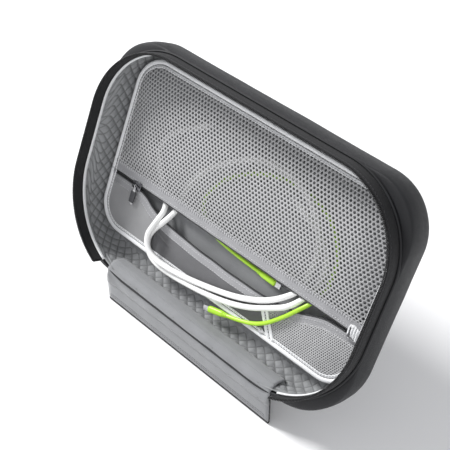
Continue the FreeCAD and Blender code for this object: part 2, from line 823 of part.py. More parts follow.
def make_slider():
    """Two wings, side flanges with a slot for the tapes, a nose post and a bridge."""
    length, width = dim["slider_length"].number, dim["slider_width"].number
    plate, room = dim["slider_plate"].number, dim["slider_room"].number
    slot, flange = dim["slider_slot"].number, dim["slider_flange"].number
    post, lug = dim["slider_post"].number, dim["slider_lug"].number
    top = slider_box(-length / 2, -width / 2, room / 2, length, width, plate)
    bottom = slider_box(-length / 2, -width / 2, -room / 2 - plate, length, width, plate)
    pieces = [bottom]
    lip = (room - slot) / 2
    for side in (-width / 2, width / 2 - flange):
        pieces.append(slider_box(-length / 2, side, room / 2 - lip, length, flange, lip))
        pieces.append(slider_box(-length / 2, side, -room / 2, length, flange, lip))
    post_length = plate * 2
    pieces.append(
        slider_box(length / 2 - post_length, -post / 2, -room / 2, post_length, post, room)
    )
    pin = dim["pin_round"].number
    rise = pin_level.number + pin - room / 2 - plate
    for start in (-length / 2 + plate, length / 2 - plate - lug):
        pieces.append(slider_box(start, -lug / 2, room / 2 + plate, lug, lug, rise))
    rod_start = slider_centre + FreeCAD.Vector(-length / 2 + plate * 2, 0, pin_level.number)
    pieces.append(Part.makeCylinder(pin, length - plate * 4, rod_start, ACROSS))
    shape_node("pocket_slider", top.multiFuse(pieces).removeSplitter())


def make_pull():
    """A flat plate with an eye round the slider's bridge, and a sleeve on the plate."""
    pin, skin = dim["pin_round"].number, dim["pull_skin"].number
    running, wall = dim["pull_running_gap"].number, dim["pull_eye_wall"].number
    eye_width, sleeve_skin = dim["pull_eye"].number, dim["pull_sleeve_skin"].number
    length, width = dim["pull_length"].number, dim["pull_width"].number
    plate_width = width - wall - sleeve_skin * 2
    sleeve_length, tip_length = length * 0.625, length * 0.08
    centre = slider_centre + UP * pin_level.number
    eye_start = centre - ACROSS * (eye_width / 2)
    eye = Part.makeCylinder(pin + running + wall, eye_width, eye_start, ACROSS)
    stem_start, stem_length = pin + running + wall / 2, length / 5
    stem_low = eye_start + FreeCAD.Vector(0, -stem_start - stem_length, -skin / 2)
    stem = Part.makeBox(eye_width, stem_length, skin, stem_low)
    plate_low = centre + FreeCAD.Vector(-plate_width / 2, -length, -skin / 2)
    plate = Part.makeBox(plate_width, length - stem_length, skin, plate_low)
    bore = Part.makeCylinder(pin + running, eye_width * 2, centre - ACROSS * eye_width, ACROSS)
    shape_node("pocket_pull", eye.multiFuse([stem, plate]).removeSplitter().cut(bore))
    low = centre + FreeCAD.Vector(-width / 2, -length + tip_length, -skin / 2 - sleeve_skin)
    sleeve = Part.makeBox(width, sleeve_length, skin + sleeve_skin * 2, low)
    clear = running / 2
    hollow_low = plate_low - FreeCAD.Vector(clear, 0, clear)
    hollow = Part.makeBox(plate_width + clear * 2, length, skin + clear * 2, hollow_low)
    long_edges = [e for e in sleeve.Edges if e.BoundBox.YLength > sleeve_length / 2]
    shape_node("pocket_pull_sleeve", sleeve.makeFillet(sleeve_skin * 0.9, long_edges).cut(hollow))


# ---- cables -----------------------------------------------------------------------------


def make_cable(name, route, radius):
    """A round cable along its route; prints the radii of its bends."""
    radii = []
    points = [FreeCAD.Vector(*point) for point in route]
    path = Part.Wire(round_path(points, radii))
    way = (points[1] - points[0]).normalize()
    section = Part.Wire(Part.Circle(points[0], way, radius).toShape())
    tube = path.makePipeShell([section], True, False)
    expected = math.pi * radius**2 * path.Length
    print(f"{name}: length {path.Length:.0f}, volume ratio {tube.Volume / expected:.4f}")
    print(f"{name}: bend radii", " ".join(f"{r:.0f}" for r in radii))
    shape_node(name, tube)


def stepped_plug(end, before, steps):
    """Coaxial round steps that carry on from a cable's end, as (radius, length) pairs."""
    way = (FreeCAD.Vector(*end) - FreeCAD.Vector(*before)).normalize()
    at = FreeCAD.Vector(*end) + way * END_GAP
    solids = []
    for radius, length in steps:
        solids.append(Part.makeCylinder(radius, length, at, way))
        at = at + way * length
    return solids, at, way


def make_plugs(colour, route, relief_radius, shell):
    """A moulded plug with its strain relief at each end of a cable, and their metal shells."""
    steps = [
        (relief_radius, dim["relief_length"].number),
        (dim["plug_round"].number, dim["plug_length"].number),
    ]
    width, thick, length = shell
    metal = []
    for label, end, before in [("near", route[0], route[1]), ("far", route[-1], route[-2])]:
        solids, tip, way = stepped_plug(end, before, steps)
        shape_node(f"{colour}_plug_{label}", solids[0].fuse(solids[1]).removeSplitter())
        block = Part.makeBox(length, width, thick, FreeCAD.Vector(0, -width / 2, -thick / 2))
        flat = FreeCAD.Rotation(way, FreeCAD.Vector(0, 0, 0), UP, "XZY")
        block.Placement = FreeCAD.Placement(tip + way * END_GAP, flat)
        metal.append(block)
    shape_node(f"{colour}_plug_shells", Part.makeCompound(metal))


# ---- build, check and write -------------------------------------------------------------

make_outer_cover()
make_foam_liner()
make_side_lining()
make_back_panel()
make_hinge_lining()
make_rim()
make_hinge_flange()
make_pocket_bindings()
make_mesh_panel()
make_pocket_zip()
make_zip_ends()
make_lower_panels()
make_divider()
make_slider()
make_pull()
make_cable("white_cable", WHITE_ROUTE, dim["white_round"].number)
make_plugs("white", WHITE_ROUTE, *WHITE_PLUG)
make_cable("green_cable", GREEN_ROUTE, dim["green_round"].number)
make_plugs("green", GREEN_ROUTE, *GREEN_PLUG)
doc.recompute()

for item in doc.Objects:
    if "Invalid" in item.State or "Error" in item.State:
        raise RuntimeError(f"{item.Label} failed: {item.State}")
for node in nodes:
    if node.Shape.isNull() or not node.Shape.isValid():
        raise RuntimeError(f"{node.Label} has no valid shape")
for node in nodes:
    node.Shape.exportStep(f"parts/{node.Label}.step")
print(len(nodes), "nodes written")
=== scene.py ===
import json
import math

import bmesh
import bpy
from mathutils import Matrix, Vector, noise


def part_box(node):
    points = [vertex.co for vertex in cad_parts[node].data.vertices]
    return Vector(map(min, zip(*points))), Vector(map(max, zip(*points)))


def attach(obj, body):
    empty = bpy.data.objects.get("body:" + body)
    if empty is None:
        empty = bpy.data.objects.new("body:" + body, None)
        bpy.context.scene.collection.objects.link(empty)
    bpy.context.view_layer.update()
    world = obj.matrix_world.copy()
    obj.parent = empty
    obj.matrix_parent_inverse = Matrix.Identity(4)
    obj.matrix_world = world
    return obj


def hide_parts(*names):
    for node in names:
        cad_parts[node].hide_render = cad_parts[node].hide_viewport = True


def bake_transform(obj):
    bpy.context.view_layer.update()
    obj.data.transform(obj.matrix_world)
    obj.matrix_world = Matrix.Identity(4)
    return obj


# The inside of a soft bag lid with a zipped mesh cable pocket, and two cables in it.
#
# Shapes are written in the lid frame, in millimetres: x along the hinge, y from the hinge
# side to the front edge, z out of the mouth, with z = 0 at the free edge of the rim.

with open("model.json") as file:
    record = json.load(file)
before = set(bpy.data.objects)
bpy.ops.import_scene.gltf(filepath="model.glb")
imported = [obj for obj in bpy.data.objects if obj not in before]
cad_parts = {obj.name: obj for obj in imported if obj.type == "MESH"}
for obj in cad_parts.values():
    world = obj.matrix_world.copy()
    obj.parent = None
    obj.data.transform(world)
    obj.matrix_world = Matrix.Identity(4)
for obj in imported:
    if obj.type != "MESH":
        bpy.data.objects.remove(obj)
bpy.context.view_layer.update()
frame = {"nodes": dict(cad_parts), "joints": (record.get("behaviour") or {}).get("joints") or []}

HINGE = next(joint for joint in frame["joints"] if joint["name"] == "lid_hinge")
AXIS = Vector(HINGE["pos_m"]) * 1000
TILT = math.radians(65)
RIM_HEIGHT = 18
MM = 0.001


def lid_point(x, y, z):
    """A point of the lid frame in millimetres, as a point of the row frame in metres."""
    rise = z + RIM_HEIGHT
    across = AXIS.y + y * math.cos(TILT) - rise * math.sin(TILT)
    up = AXIS.z + y * math.sin(TILT) + rise * math.cos(TILT)
    return Vector((x, across, up)) * MM


def row_point(x, y, z):
    """A point of the row frame in millimetres, in metres."""
    return Vector((x, y, z)) * MM


def smooth_step(value, low, high):
    share = min(max((value - low) / (high - low), 0), 1)
    return share * share * (3 - 2 * share)


# ---- meshes -----------------------------------------------------------------------------


class Builder:
    """Collects the points, faces and UVs of one mesh. UVs are lengths in metres."""

    def __init__(self, place=lid_point):
        self.place = place
        self.points = []
        self.faces = []
        self.uvs = []

    def grid(self, rows, close_row=False, close_rows=False):
        """A sheet of quads over rows of points, which may close along a row or over the rows."""
        start, wide = len(self.points), len(rows[0])
        for row in rows:
            self.points.extend(Vector(point) for point in row)
        middle = rows[len(rows) // 2]
        along = running_lengths(middle, close_row)
        down = running_lengths([row[wide // 2] for row in rows], close_rows)
        for i in range(len(rows) if close_rows else len(rows) - 1):
            for j in range(wide if close_row else wide - 1):
                below, beside = (i + 1) % len(rows), (j + 1) % wide
                self.faces.append((
                    start + i * wide + j, start + i * wide + beside,
                    start + below * wide + beside, start + below * wide + j,
                ))
                self.uvs.extend([
                    (along[j], down[i]), (along[j + 1], down[i]),
                    (along[j + 1], down[i + 1]), (along[j], down[i + 1]),
                ])

    def cap(self, ring):
        """One flat face on a ring of points."""
        start = len(self.points)
        self.points.extend(Vector(point) for point in ring)
        self.faces.append(tuple(range(start, start + len(ring))))
        self.uvs.extend((point[0] * MM, point[1] * MM) for point in ring)

    def tube(self, line, radius, sides=6, closed=False):
        """A round tube along a line; radius is a number, or one for each point."""
        line = [Vector(point) for point in line]
        radii = radius if isinstance(radius, list) else [radius] * len(line)
        side = None
        rows = []
        for index, point in enumerate(line):
            ahead = line[(index + 1) % len(line)] if closed else line[min(index + 1, len(line) - 1)]
            behind = line[index - 1] if closed or index else point
            way = (ahead - behind).normalized()
            if side is None:
                side = way.cross(Vector((0.13, 0.21, 1))).normalized()
            side = (side - way * side.dot(way)).normalized()
            other = way.cross(side)
            turns = [2 * math.pi * k / sides for k in range(sides)]
            rows.append([
                point + (side * math.cos(turn) + other * math.sin(turn)) * radii[index]
                for turn in turns
            ])
        self.skin(rows, closed)

    def skin(self, rows, closed=False):
        """A closed skin over rows that each close on themselves, with an end face at each end."""
        self.grid(rows, close_row=True, close_rows=closed)
        if not closed:
            self.cap(rows[0])
            self.cap(rows[-1])

    def make(self, name, material, thickness=0):
        mesh = bpy.data.meshes.new(name)
        places = [self.place(*point) for point in self.points]
        mesh.from_pydata(places, [], self.faces)
        layer = mesh.uv_layers.new(name="UVMap")
        layer.data.foreach_set("uv", [number for uv in self.uvs for number in uv])
        work = bmesh.new()
        work.from_mesh(mesh)
        bmesh.ops.remove_doubles(work, verts=work.verts, dist=1e-6)
        bmesh.ops.recalc_face_normals(work, faces=work.faces)
        work.to_mesh(mesh)
        work.free()
        mesh.polygons.foreach_set("use_smooth", [True] * len(mesh.polygons))
        mesh.materials.append(material)
        piece = bpy.data.objects.new(name, mesh)
        bpy.context.scene.collection.objects.link(piece)
        if thickness:
            solid = piece.modifiers.new("Thickness", "SOLIDIFY")
            solid.thickness = thickness * MM
            solid.offset = 0
        return piece


def running_lengths(points, closed):
    """The length run so far at each point, in metres, with one more at the end if closed."""
    points = [Vector(point) for point in points]
    if closed:
        points = [*points, points[0]]
    lengths = [0.0]
    for before, point in zip(points, points[1:]):
        lengths.append(lengths[-1] + (point - before).length * MM)
    return lengths


def place(piece, body, slot, *nodes):
    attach(piece, body)
    if nodes:
        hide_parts(*nodes)
    return piece


def slot_of(material):
    """The record's slot for a material; Blender puts a number after a name that is taken."""
    return material.name.split(".")[0]


def add(builder, name, material, *nodes, body="lid", slot=None, thickness=0):
    """Makes a piece and places it. The slot it passes on, its material's name unless one is given, is not
    used.
    """
    return place(builder.make(name, material, thickness), body, slot or slot_of(material), *nodes)


class Plan:
    """A rounded plan outline, symmetric about x = 0, run counter-clockwise by t from 0 to 8:
    the hinge side, the near right corner, the right side and so on round."""

    def __init__(self, half, near, far, near_round, far_round):
        self.sizes = (half, near, far, near_round, far_round)

    def inset(self, by):
        half, near, far, near_round, far_round = self.sizes
        return Plan(half - by, near + by, far - by, near_round - by, far_round - by)

    def corners(self):
        half, near, far, near_round, far_round = self.sizes
        return [
            (half - near_round, near + near_round, near_round, -math.pi / 2),
            (half - far_round, far - far_round, far_round, 0),
            (-half + far_round, far - far_round, far_round, math.pi / 2),
            (-half + near_round, near + near_round, near_round, math.pi),
        ]

    def at(self, t):
        """(x, y, outward x, outward y) at t."""
        part, share = int(t % 8), t % 1
        corners = self.corners()
        if part % 2:
            x, y, radius, start = corners[part // 2]
            turn = start + share * math.pi / 2
            way = (math.cos(turn), math.sin(turn))
            return (x + radius * way[0], y + radius * way[1], *way)
        before, after = corners[part // 2 - 1], corners[part // 2]
        turn = after[3]
        way = (math.cos(turn), math.sin(turn))
        x0, y0 = before[0] + before[2] * way[0], before[1] + before[2] * way[1]
        x1, y1 = after[0] + after[2] * way[0], after[1] + after[2] * way[1]
        return (x0 + (x1 - x0) * share, y0 + (y1 - y0) * share, *way)

    def stations(self, step, start=0, end=8):
        """Values of t about step apart, from start to end; a closed run leaves the end out."""
        closed = end - start == 8
        edges = [start, *range(math.floor(start) + 1, math.ceil(end)), end]
        values = []
        for low, high in zip(edges, edges[1:]):
            x0, y0 = self.at(low + 1e-6)[:2]
            x1, y1 = self.at(high - 1e-6)[:2]
            count = max(1, round(math.hypot(x1 - x0, y1 - y0) * 1.05 / step))
            values.extend(low + (high - low) * k / count for k in range(count))
        return values if closed else [*values, end]

    def distance(self, x, y):
        """How far a point lies inside the outline."""
        half, near, far, near_round, far_round = self.sizes
        radius = near_round if y < (near + far) / 2 else far_round
        across = abs(x) - (half - radius)
        along = (near + radius - y) if y < (near + far) / 2 else (y - far + radius)
        if across > 0 and along > 0:
            return radius - math.hypot(across, along)
        return min(half - abs(x), y - near, far - y)


RIM = Plan(175, 0, 228, 90, 75)
SHELL = Plan(176.5, -1.5, 229.5, 64, 52)
POCKET = Plan(163, 27, 212, 31, 34)
MESH_PLAN = Plan(160.3, 94.6, 209.3, 0.5, 31.3)
PANEL_PLAN = Plan(160.3, 29.7, 209.3, 28.3, 31.3)
ZIP_OPEN = (1.239, 7.761)
POCKET_LEVEL = -41
BACK_LEVEL = -50.5
ZIP_LINE = 84


def sweep(builder, plan, profile, values, closed):
    """Carries a closed profile of (inward, z) points along a plan."""
    rows = []
    for t in values:
        x, y, out_x, out_y = plan.at(t)
        rows.append([(x - n * out_x, y - n * out_y, z) for n, z in profile])
    builder.skin(rows, closed)


def line_on(plan, values, inward, z):
    """The line at one place of a sweep's profile."""
    line = []
    for t in values:
        x, y, out_x, out_y = plan.at(t)
        line.append(Vector((x - inward * out_x, y - inward * out_y, z)))
    return line


def resample(line, step):
    """Points step apart along a line, with the way it runs at each."""
    points, ways, left = [], [], 0.0
    for start, end in zip(line, line[1:]):
        length = (end - start).length
        if length < 1e-9:
            continue
        way = (end - start) / length
        at = left
        while at < length:
            points.append(start + way * at)
            ways.append(way)
            at += step
        left = at - length
    return points, ways


def stitch(builder, line, pitch, length, radius, lift=0.25, turn=0.0):
    """Short raised threads along a line; turn lays them across it."""
    points, ways = resample(line, pitch)
    for point, way in zip(points, ways):
        lying = Vector((
            way.x * math.cos(turn) - way.y * math.sin(turn),
            way.x * math.sin(turn) + way.y * math.cos(turn), way.z,
        ))
        half = lying * (length / 2)
        rise = Vector((0, 0, lift))
        builder.tube(
            [point - half, point - half * 0.6 + rise, point + half * 0.6 + rise, point + half],
            [radius * 0.6, radius, radius, radius * 0.6], 5,
        )


def coil(builder, line, pitch, width, height, radius, sides=5, steps=9):
    """A zip coil: a wire that winds round a line that lies flat."""
    points, ways = resample(line, pitch / steps)
    wire = []
    for index, (point, way) in enumerate(zip(points, ways)):
        side = Vector((way.y, -way.x, 0)).normalized()
        turn = 2 * math.pi * index / steps
        wire.append(
            point + side * (math.cos(turn) * width / 2) + Vector((0, 0, math.sin(turn) * height / 2))
        )
    builder.tube(wire, radius, sides)


def soft_curve(points, step):
    """A smooth flat line that a control polygon steers, from its first to its last point."""
    points = [Vector(point) for point in points]
    middles = [(a + b) / 2 for a, b in zip(points, points[1:])]
    line = [points[0]]
    for before, corner, after in zip(middles, points[1:], middles[1:]):
        count = max(2, round((after - before).length / step))
        for k in range(count):
            share = k / count
            line.append(before * (1 - share) ** 2 + corner * (2 * share * (1 - share)) + after * share**2)
    return [*line, middles[-1], points[-1]]


# ---- materials --------------------------------------------------------------------------


class Surface:
    """A node material with a Principled shader, built step by step."""

    def __init__(self, name, roughness, metallic=0, sheen=0, coat=0, specular=0.5):
        self.material = bpy.data.materials.new(name)
        self.material.use_nodes = True
        self.nodes = self.material.node_tree.nodes
        self.links = self.material.node_tree.links
        self.shader = self.nodes["Principled BSDF"]
        for socket, value in {
            "Roughness": roughness, "Metallic": metallic, "Specular IOR Level": specular,
            "Sheen Weight": sheen, "Sheen Roughness": 0.45,
            "Coat Weight": coat, "Coat Roughness": 0.25,
        }.items():
            self.shader.inputs[socket].default_value = value
        self.where = self.nodes.new("ShaderNodeTexCoord")

    def math(self, operation, first, second=None):
        node = self.nodes.new("ShaderNodeMath")
        node.operation = operation
        for socket, value in zip(node.inputs, (first, second)):
            if isinstance(value, (int, float)):
                socket.default_value = value
            elif value is not None:
                self.links.new(value, socket)
        return node.outputs[0]

    def uv(self):
        parts = self.nodes.new("ShaderNodeSeparateXYZ")
        self.links.new(self.where.outputs["UV"], parts.inputs[0])
        return parts.outputs[0], parts.outputs[1]

    def wave(self, length, pitch):
        """A sine of a length in metres, from -1 to 1, with its pitch in millimetres."""
        return self.math("SINE", self.math("MULTIPLY", length, 2 * math.pi / (pitch * MM)))

    def noise(self, scale, detail=3, space="Object"):
        node = self.nodes.new("ShaderNodeTexNoise")
        node.inputs["Scale"].default_value = scale
        node.inputs["Detail"].default_value = detail
        self.links.new(self.where.outputs[space], node.inputs["Vector"])
        return node.outputs[0]

    def mix(self, factor, first, second):
        node = self.nodes.new("ShaderNodeMix")
        node.data_type = "RGBA"
        if isinstance(factor, float):
            node.inputs[0].default_value = factor
        else:
            self.links.new(factor, node.inputs[0])
        for socket, value in ((node.inputs[6], first), (node.inputs[7], second)):
            if isinstance(value, tuple):
                socket.default_value = (*value, 1)
            else:
                self.links.new(value, socket)
        return node.outputs[2]

    def ramp(self, value, low, high, ends="From"):
        """The value spread from 0 at low to 1 at high, or with ends "To" from low to high."""
        node = self.nodes.new("ShaderNodeMapRange")
        node.inputs[f"{ends} Min"].default_value = low
        node.inputs[f"{ends} Max"].default_value = high
        self.links.new(value, node.inputs["Value"])
        return node.outputs[0]

    def colour(self, socket):
        self.links.new(socket, self.shader.inputs["Base Color"])

    def roughness(self, socket, low, high):
        self.links.new(self.ramp(socket, low, high, "To"), self.shader.inputs["Roughness"])

    def bump(self, socket, depth, strength=1.0):
        node = self.nodes.new("ShaderNodeBump")
        node.inputs["Strength"].default_value = strength
        node.inputs["Distance"].default_value = depth * MM
        self.links.new(socket, node.inputs["Height"])
        self.links.new(node.outputs[0], self.shader.inputs["Normal"])


def scaled(colour, by):
    return tuple(min(channel * by, 1) for channel in colour)


def woven(
    name, colour, pitch, roughness=0.8, sheen=0.3, depth=0.12, contrast=0.25, mottle=0.15, cell=None,
):
    """Plain weave: warp and weft threads, mottled; cell paints shade into the sunken seams of a diamond
    quilt.
    """
    surface = Surface(name, roughness, sheen=sheen, specular=0.3)
    u, v = surface.uv()
    warp, weft = surface.wave(u, pitch), surface.wave(v, pitch)
    threads = surface.math("MULTIPLY", warp, weft)
    height = surface.ramp(threads, -1, 1)
    base = surface.mix(height, scaled(colour, 1 - contrast), scaled(colour, 1 + contrast))
    patch = surface.ramp(surface.noise(45), 0.3, 0.7)
    shade = surface.mix(patch, scaled(colour, 1 - mottle), scaled(colour, 1 + mottle))
    cloth = surface.mix(0.45, base, shade)
    if cell:
        near = [
            surface.math("PINGPONG", surface.math("MULTIPLY", lean, 1 / (cell * MM)), 0.5)
            for lean in (surface.math("ADD", u, v), surface.math("SUBTRACT", u, v))
        ]
        # Painted shade: the cloth darkens to 0.58 of its colour along the quilt seams, where they sink
        # into the lining.
        seam_shade_mask = surface.ramp(surface.math("MINIMUM", *near), 0.02, 0.14)
        cloth = surface.mix(seam_shade_mask, scaled(colour, 0.58), cloth)
    surface.colour(cloth)
    surface.roughness(surface.noise(300), roughness - 0.1, roughness + 0.08)
    surface.bump(height, depth)
    return surface.material


def ribbed(name, colour, pitch, roughness=0.7, sheen=0.3, depth=0.2, contrast=0.3):
    """Grosgrain or zip tape: fine ribs across the length, with a herringbone under them."""
    surface = Surface(name, roughness, sheen=sheen, specular=0.3)
    u, v = surface.uv()
    ribs = surface.wave(u, pitch)
    lean = surface.math("ADD", u, v)
    twill = surface.wave(lean, pitch * 0.8)
    both = surface.math("ADD", surface.math("MULTIPLY", ribs, 0.6), surface.math("MULTIPLY", twill, 0.4))
    height = surface.ramp(both, -1, 1)
    base = surface.mix(height, scaled(colour, 1 - contrast), scaled(colour, 1 + contrast))
    wear = surface.ramp(surface.noise(70), 0.35, 0.75)
    surface.colour(surface.mix(surface.math("MULTIPLY", wear, 0.35), base, scaled(colour, 1.25)))
    surface.bump(height, depth)
    return surface.material


def moulded(name, colour, roughness=0.35, coat=0.0, sheen=0.0, grain=900, depth=0.03, mottle=0.08):
    """Moulded plastic or rubber: a fine grain and slight handling marks."""
    surface = Surface(name, roughness, coat=coat, sheen=sheen)
    fine = surface.noise(grain, 5)
    patch = surface.ramp(surface.noise(60), 0.3, 0.7)
    surface.colour(surface.mix(patch, scaled(colour, 1 - mottle), scaled(colour, 1 + mottle)))
    surface.roughness(surface.noise(120), roughness - 0.08, roughness + 0.12)
    surface.bump(fine, depth)
    return surface.material


def worn_metal(name, colour, roughness=0.28):
    """Plated zinc: bright, with rubbed patches and fine scratches."""
    surface = Surface(name, roughness, metallic=1)
    patch = surface.ramp(surface.noise(400, 4), 0.35, 0.7)
    surface.colour(surface.mix(patch, scaled(colour, 0.75), scaled(colour, 1.1)))
    surface.roughness(surface.noise(900, 4), roughness - 0.1, roughness + 0.18)
    surface.bump(surface.noise(1500, 4), 0.02)
    return surface.material


COVER = woven(
    "cover_fabric", (0.014, 0.0143, 0.016), 0.7, 0.55, sheen=0.03, depth=0.05, contrast=0.15, mottle=0.18,
)
LINING = woven("lining_grey", (0.24, 0.244, 0.252), 0.9, 0.8, depth=0.1)
QUILT_CELL = 11.5
# Painted shade darkens this lining along its sunken quilt seams.
QUILT = woven("lining_quilted", (0.27, 0.275, 0.28), 0.9, 0.75, sheen=0.1, depth=0.1, cell=QUILT_CELL)
TRIM = ribbed("trim_light", (0.78, 0.785, 0.795), 1.1, depth=0.2, contrast=0.15)
TAPE_DARK = ribbed("zip_tape_dark", (0.014, 0.014, 0.015), 1.2, 0.7, sheen=0.05, depth=0.2)
COIL_DARK = moulded("zip_coil_dark", (0.008, 0.008, 0.009), 0.32)
MESH = ribbed("mesh", (0.39, 0.39, 0.395), 0.6, 0.7, depth=0.08, contrast=0.2)
PANEL_LIGHT = woven("panel_light", (0.29, 0.29, 0.295), 0.8, 0.8, depth=0.1)
# Painted shade: a darkened copy of the panel cloth that stands for the shade in the middle of the sagging
# lower panel.
PANEL_SHADED = woven("panel_dark", (0.115, 0.115, 0.12), 0.8, 0.75, depth=0.08, contrast=0.15)
TAPE_LIGHT = ribbed("zip_tape_light", (0.30, 0.30, 0.31), 1.0, depth=0.15, contrast=0.2)
COIL_LIGHT = moulded("zip_coil_light", (0.06, 0.06, 0.063), 0.35)
METAL = worn_metal("metal", (0.72, 0.72, 0.73))
METAL_DARK = worn_metal("metal_dark", (0.16, 0.16, 0.17), 0.3)
GRIP = moulded("grip_dark", (0.05, 0.05, 0.055), 0.5)
WHITE = moulded("cable_white", (0.86, 0.86, 0.85), 0.38, coat=0.15, mottle=0.03)
GREEN = moulded("cable_green", (0.40, 0.70, 0.03), 0.35, coat=0.2, mottle=0.06)
FOAM = moulded("foam", (0.10, 0.10, 0.11), 0.9, grain=700, depth=0.3)
BOARD = moulded("board", (0.07, 0.07, 0.07), 0.8, grain=500, depth=0.1)
THREAD_DARK = ribbed("thread_dark", (0.05, 0.05, 0.055), 0.4, 0.8, depth=0.05)
THREAD_LIGHT = ribbed("thread_light", (0.62, 0.62, 0.63), 0.4, 0.8, depth=0.05)

FINISH = {
    "foam_liner": FOAM, "stiffener_board": BOARD, "pocket_zip_stop": METAL,
    "white_plug_shells": METAL, "green_plug_shells": METAL,
}
for node, material in FINISH.items():
    mesh = frame["nodes"][node].data
    mesh.materials.clear()
    mesh.materials.append(material)


# ---- camera -----------------------------------------------------------------------------

eye = lid_point(475.8, 478.5, 673.2)
target = lid_point(2, 112, -22)
camera_data = bpy.data.cameras.new("camera")
camera_data.lens = 82
camera = bpy.data.objects.new("camera", camera_data)
camera.location = eye
camera.rotation_euler = (target - eye).to_track_quat("-Z", "Y").to_euler()
bpy.context.scene.collection.objects.link(camera)
bpy.context.scene.camera = camera


# ---- cables -----------------------------------------------------------------------------

WHITE_ROUTE = [
    (-86, 164, -46.8), (-106, 152, -46.8), (-118, 130, -46.8), (-108, 108, -46.8),
    (-85, 82, -47.4), (-82, 64.5, -29.8), (-87, 50, -30.2), (-80, 36, -31),
    (-63, 31.5, -32.5), (-32, 33.8, -35.2), (2, 41, -36.4), (30, 49, -36.6),
    (54, 60, -36.4), (72, 72.5, -36.3), (84, 86, -47.2), (87, 104, -44.5),
    (92, 128, -39.8), (80, 158, -39.4), (48, 179, -39.4), (6, 180, -39.4),
    (-32, 156, -39.4), (-58, 130, -40), (-69, 106, -43.5), (-73.5, 82.3, -47.4),
    (-76, 69.5, -35.8), (-86, 56, -36.6), (-90, 42, -37), (-82, 29.5, -37),
    (-66, 25, -37), (-36, 27, -36.9), (8, 34, -36.8), (43, 45.5, -36.8),
    (69, 61.5, -36.8), (84, 71.5, -36.8), (93, 86, -47.2), (99, 104, -47.2),
    (99, 124, -47.2), (88, 141, -47.2), (71, 148, -47.2),
]
GREEN_ROUTE = [
    (27, 26.5, -37), (47, 31.5, -37.2), (66, 42, -37.4), (81, 58, -37.6),
    (94.5, 75.5, -38), (102.5, 87.7, -47), (109, 108, -47.6), (107, 136, -47.6),
    (89, 160, -47.6), (55, 172, -47.6), (15, 168, -47.6), (-20, 150, -47.6),
    (-44, 124, -47.6), (-48, 100, -47.6), (-26, 83.5, -47.4), (6, 79.5, -47.2),
    (36, 79, -47.1),
]


def make_cable(name, route, radius, material):
    curve = bpy.data.curves.new(name, "CURVE")
    curve.dimensions = "3D"
    curve.bevel_depth = radius * MM
    curve.bevel_resolution = 5
    curve.resolution_u = 8
    curve.use_fill_caps = True
    spline = curve.splines.new("NURBS")
    spline.points.add(len(route) - 1)
    for point, where in zip(spline.points, route):
        point.co = (*lid_point(*where), 1)
    spline.order_u = 3
    spline.use_endpoint_u = True
    curve.materials.append(material)
    piece = bpy.data.objects.new(name, curve)
    bpy.context.scene.collection.objects.link(piece)
    return piece


def soft_ring(power, count):
    """Points round a unit circle that a power below 1 squares off."""
    points = []
    for k in range(count):
        turn = 2 * math.pi * k / count
        across, above = math.cos(turn), math.sin(turn)
        points.append((
            math.copysign(abs(across) ** power, across), math.copysign(abs(above) ** power, above),
        ))
    return points


def make_plug(name, end, before, round_at, material):
    """A moulded boot: a ribbed relief that widens into a softly squared body."""
    end, before = Vector(end), Vector(before)
    way = (end - before).normalized()
    up = Vector((0, 0, 1))
    up = (up - way * up.dot(way)).normalized()
    side = way.cross(up)
    profile = [
        (0.0, 0.72, 0.72), (0.4, 0.86, 0.86), (1.2, 0.9, 0.9), (1.5, 0.78, 0.78), (1.9, 0.78, 0.78),
        (2.2, 0.92, 0.92), (3.0, 0.95, 0.95), (3.3, 0.82, 0.82), (3.7, 0.82, 0.82), (4.0, 0.97, 0.97),
        (5.0, 1.0, 1.0), (6.0, 1.04, 1.0), (9.0, 1.1, 1.0), (15.0, 1.14, 1.0), (20.0, 1.14, 1.0),
        (21.4, 1.08, 0.94), (22.0, 0.92, 0.8),
    ]
    builder = Builder()
    rows = []
    for along, wide, tall in profile:
        power = 1.0 if along < 5 else 0.75
        middle = end + way * (along + 0.05)
        rows.append([
            middle + side * (across * wide * round_at) + up * (above * tall * round_at)
            for across, above in soft_ring(power, 24)
        ])
    builder.skin(rows)
    return builder.make(name, material)


def add_cable(colour, route, radius, material, plug_radius):
    """A cable as its own tube, with its two plugs."""
    for label, end, before in [("near", route[0], route[1]), ("far", route[-1], route[-2])]:
        node = f"{colour}_plug_{label}"
        plug = make_plug(f"{node}_boot", end, before, plug_radius, material)
        place(plug, "lid", slot_of(material), node)
    piece = make_cable(f"{colour}_cable_lead", route, radius, material)
    place(piece, "lid", slot_of(material), f"{colour}_cable")


add_cable("white", WHITE_ROUTE, 2.8, WHITE, 3.1)
add_cable("green", GREEN_ROUTE, 2, GREEN, 2.75)


# ---- shell ------------------------------------------------------------------------------


def loft(builder, rows_of, values):
    """Rows of (plan point, z) functions of t, as one sheet round the lid."""
    rows = [[row(t) for t in values] for row in rows_of]
    builder.grid(rows, close_row=True)


def between(plan_a, plan_b, share, z):
    """A row that lies between two plans."""
    def row(t):
        ax, ay = plan_a.at(t)[:2]
        bx, by = plan_b.at(t)[:2]
        return (ax + (bx - ax) * share, ay + (by - ay) * share, z)
    return row


def on_plan(plan, z):
    return between(plan, plan, 0, z)


def towards_middle(plan, share, z, middle=(0, 114)):
    def row(t):
        x, y = plan.at(t)[:2]
        return (middle[0] + (x - middle[0]) * share, middle[1] + (y - middle[1]) * share, z)
    return row


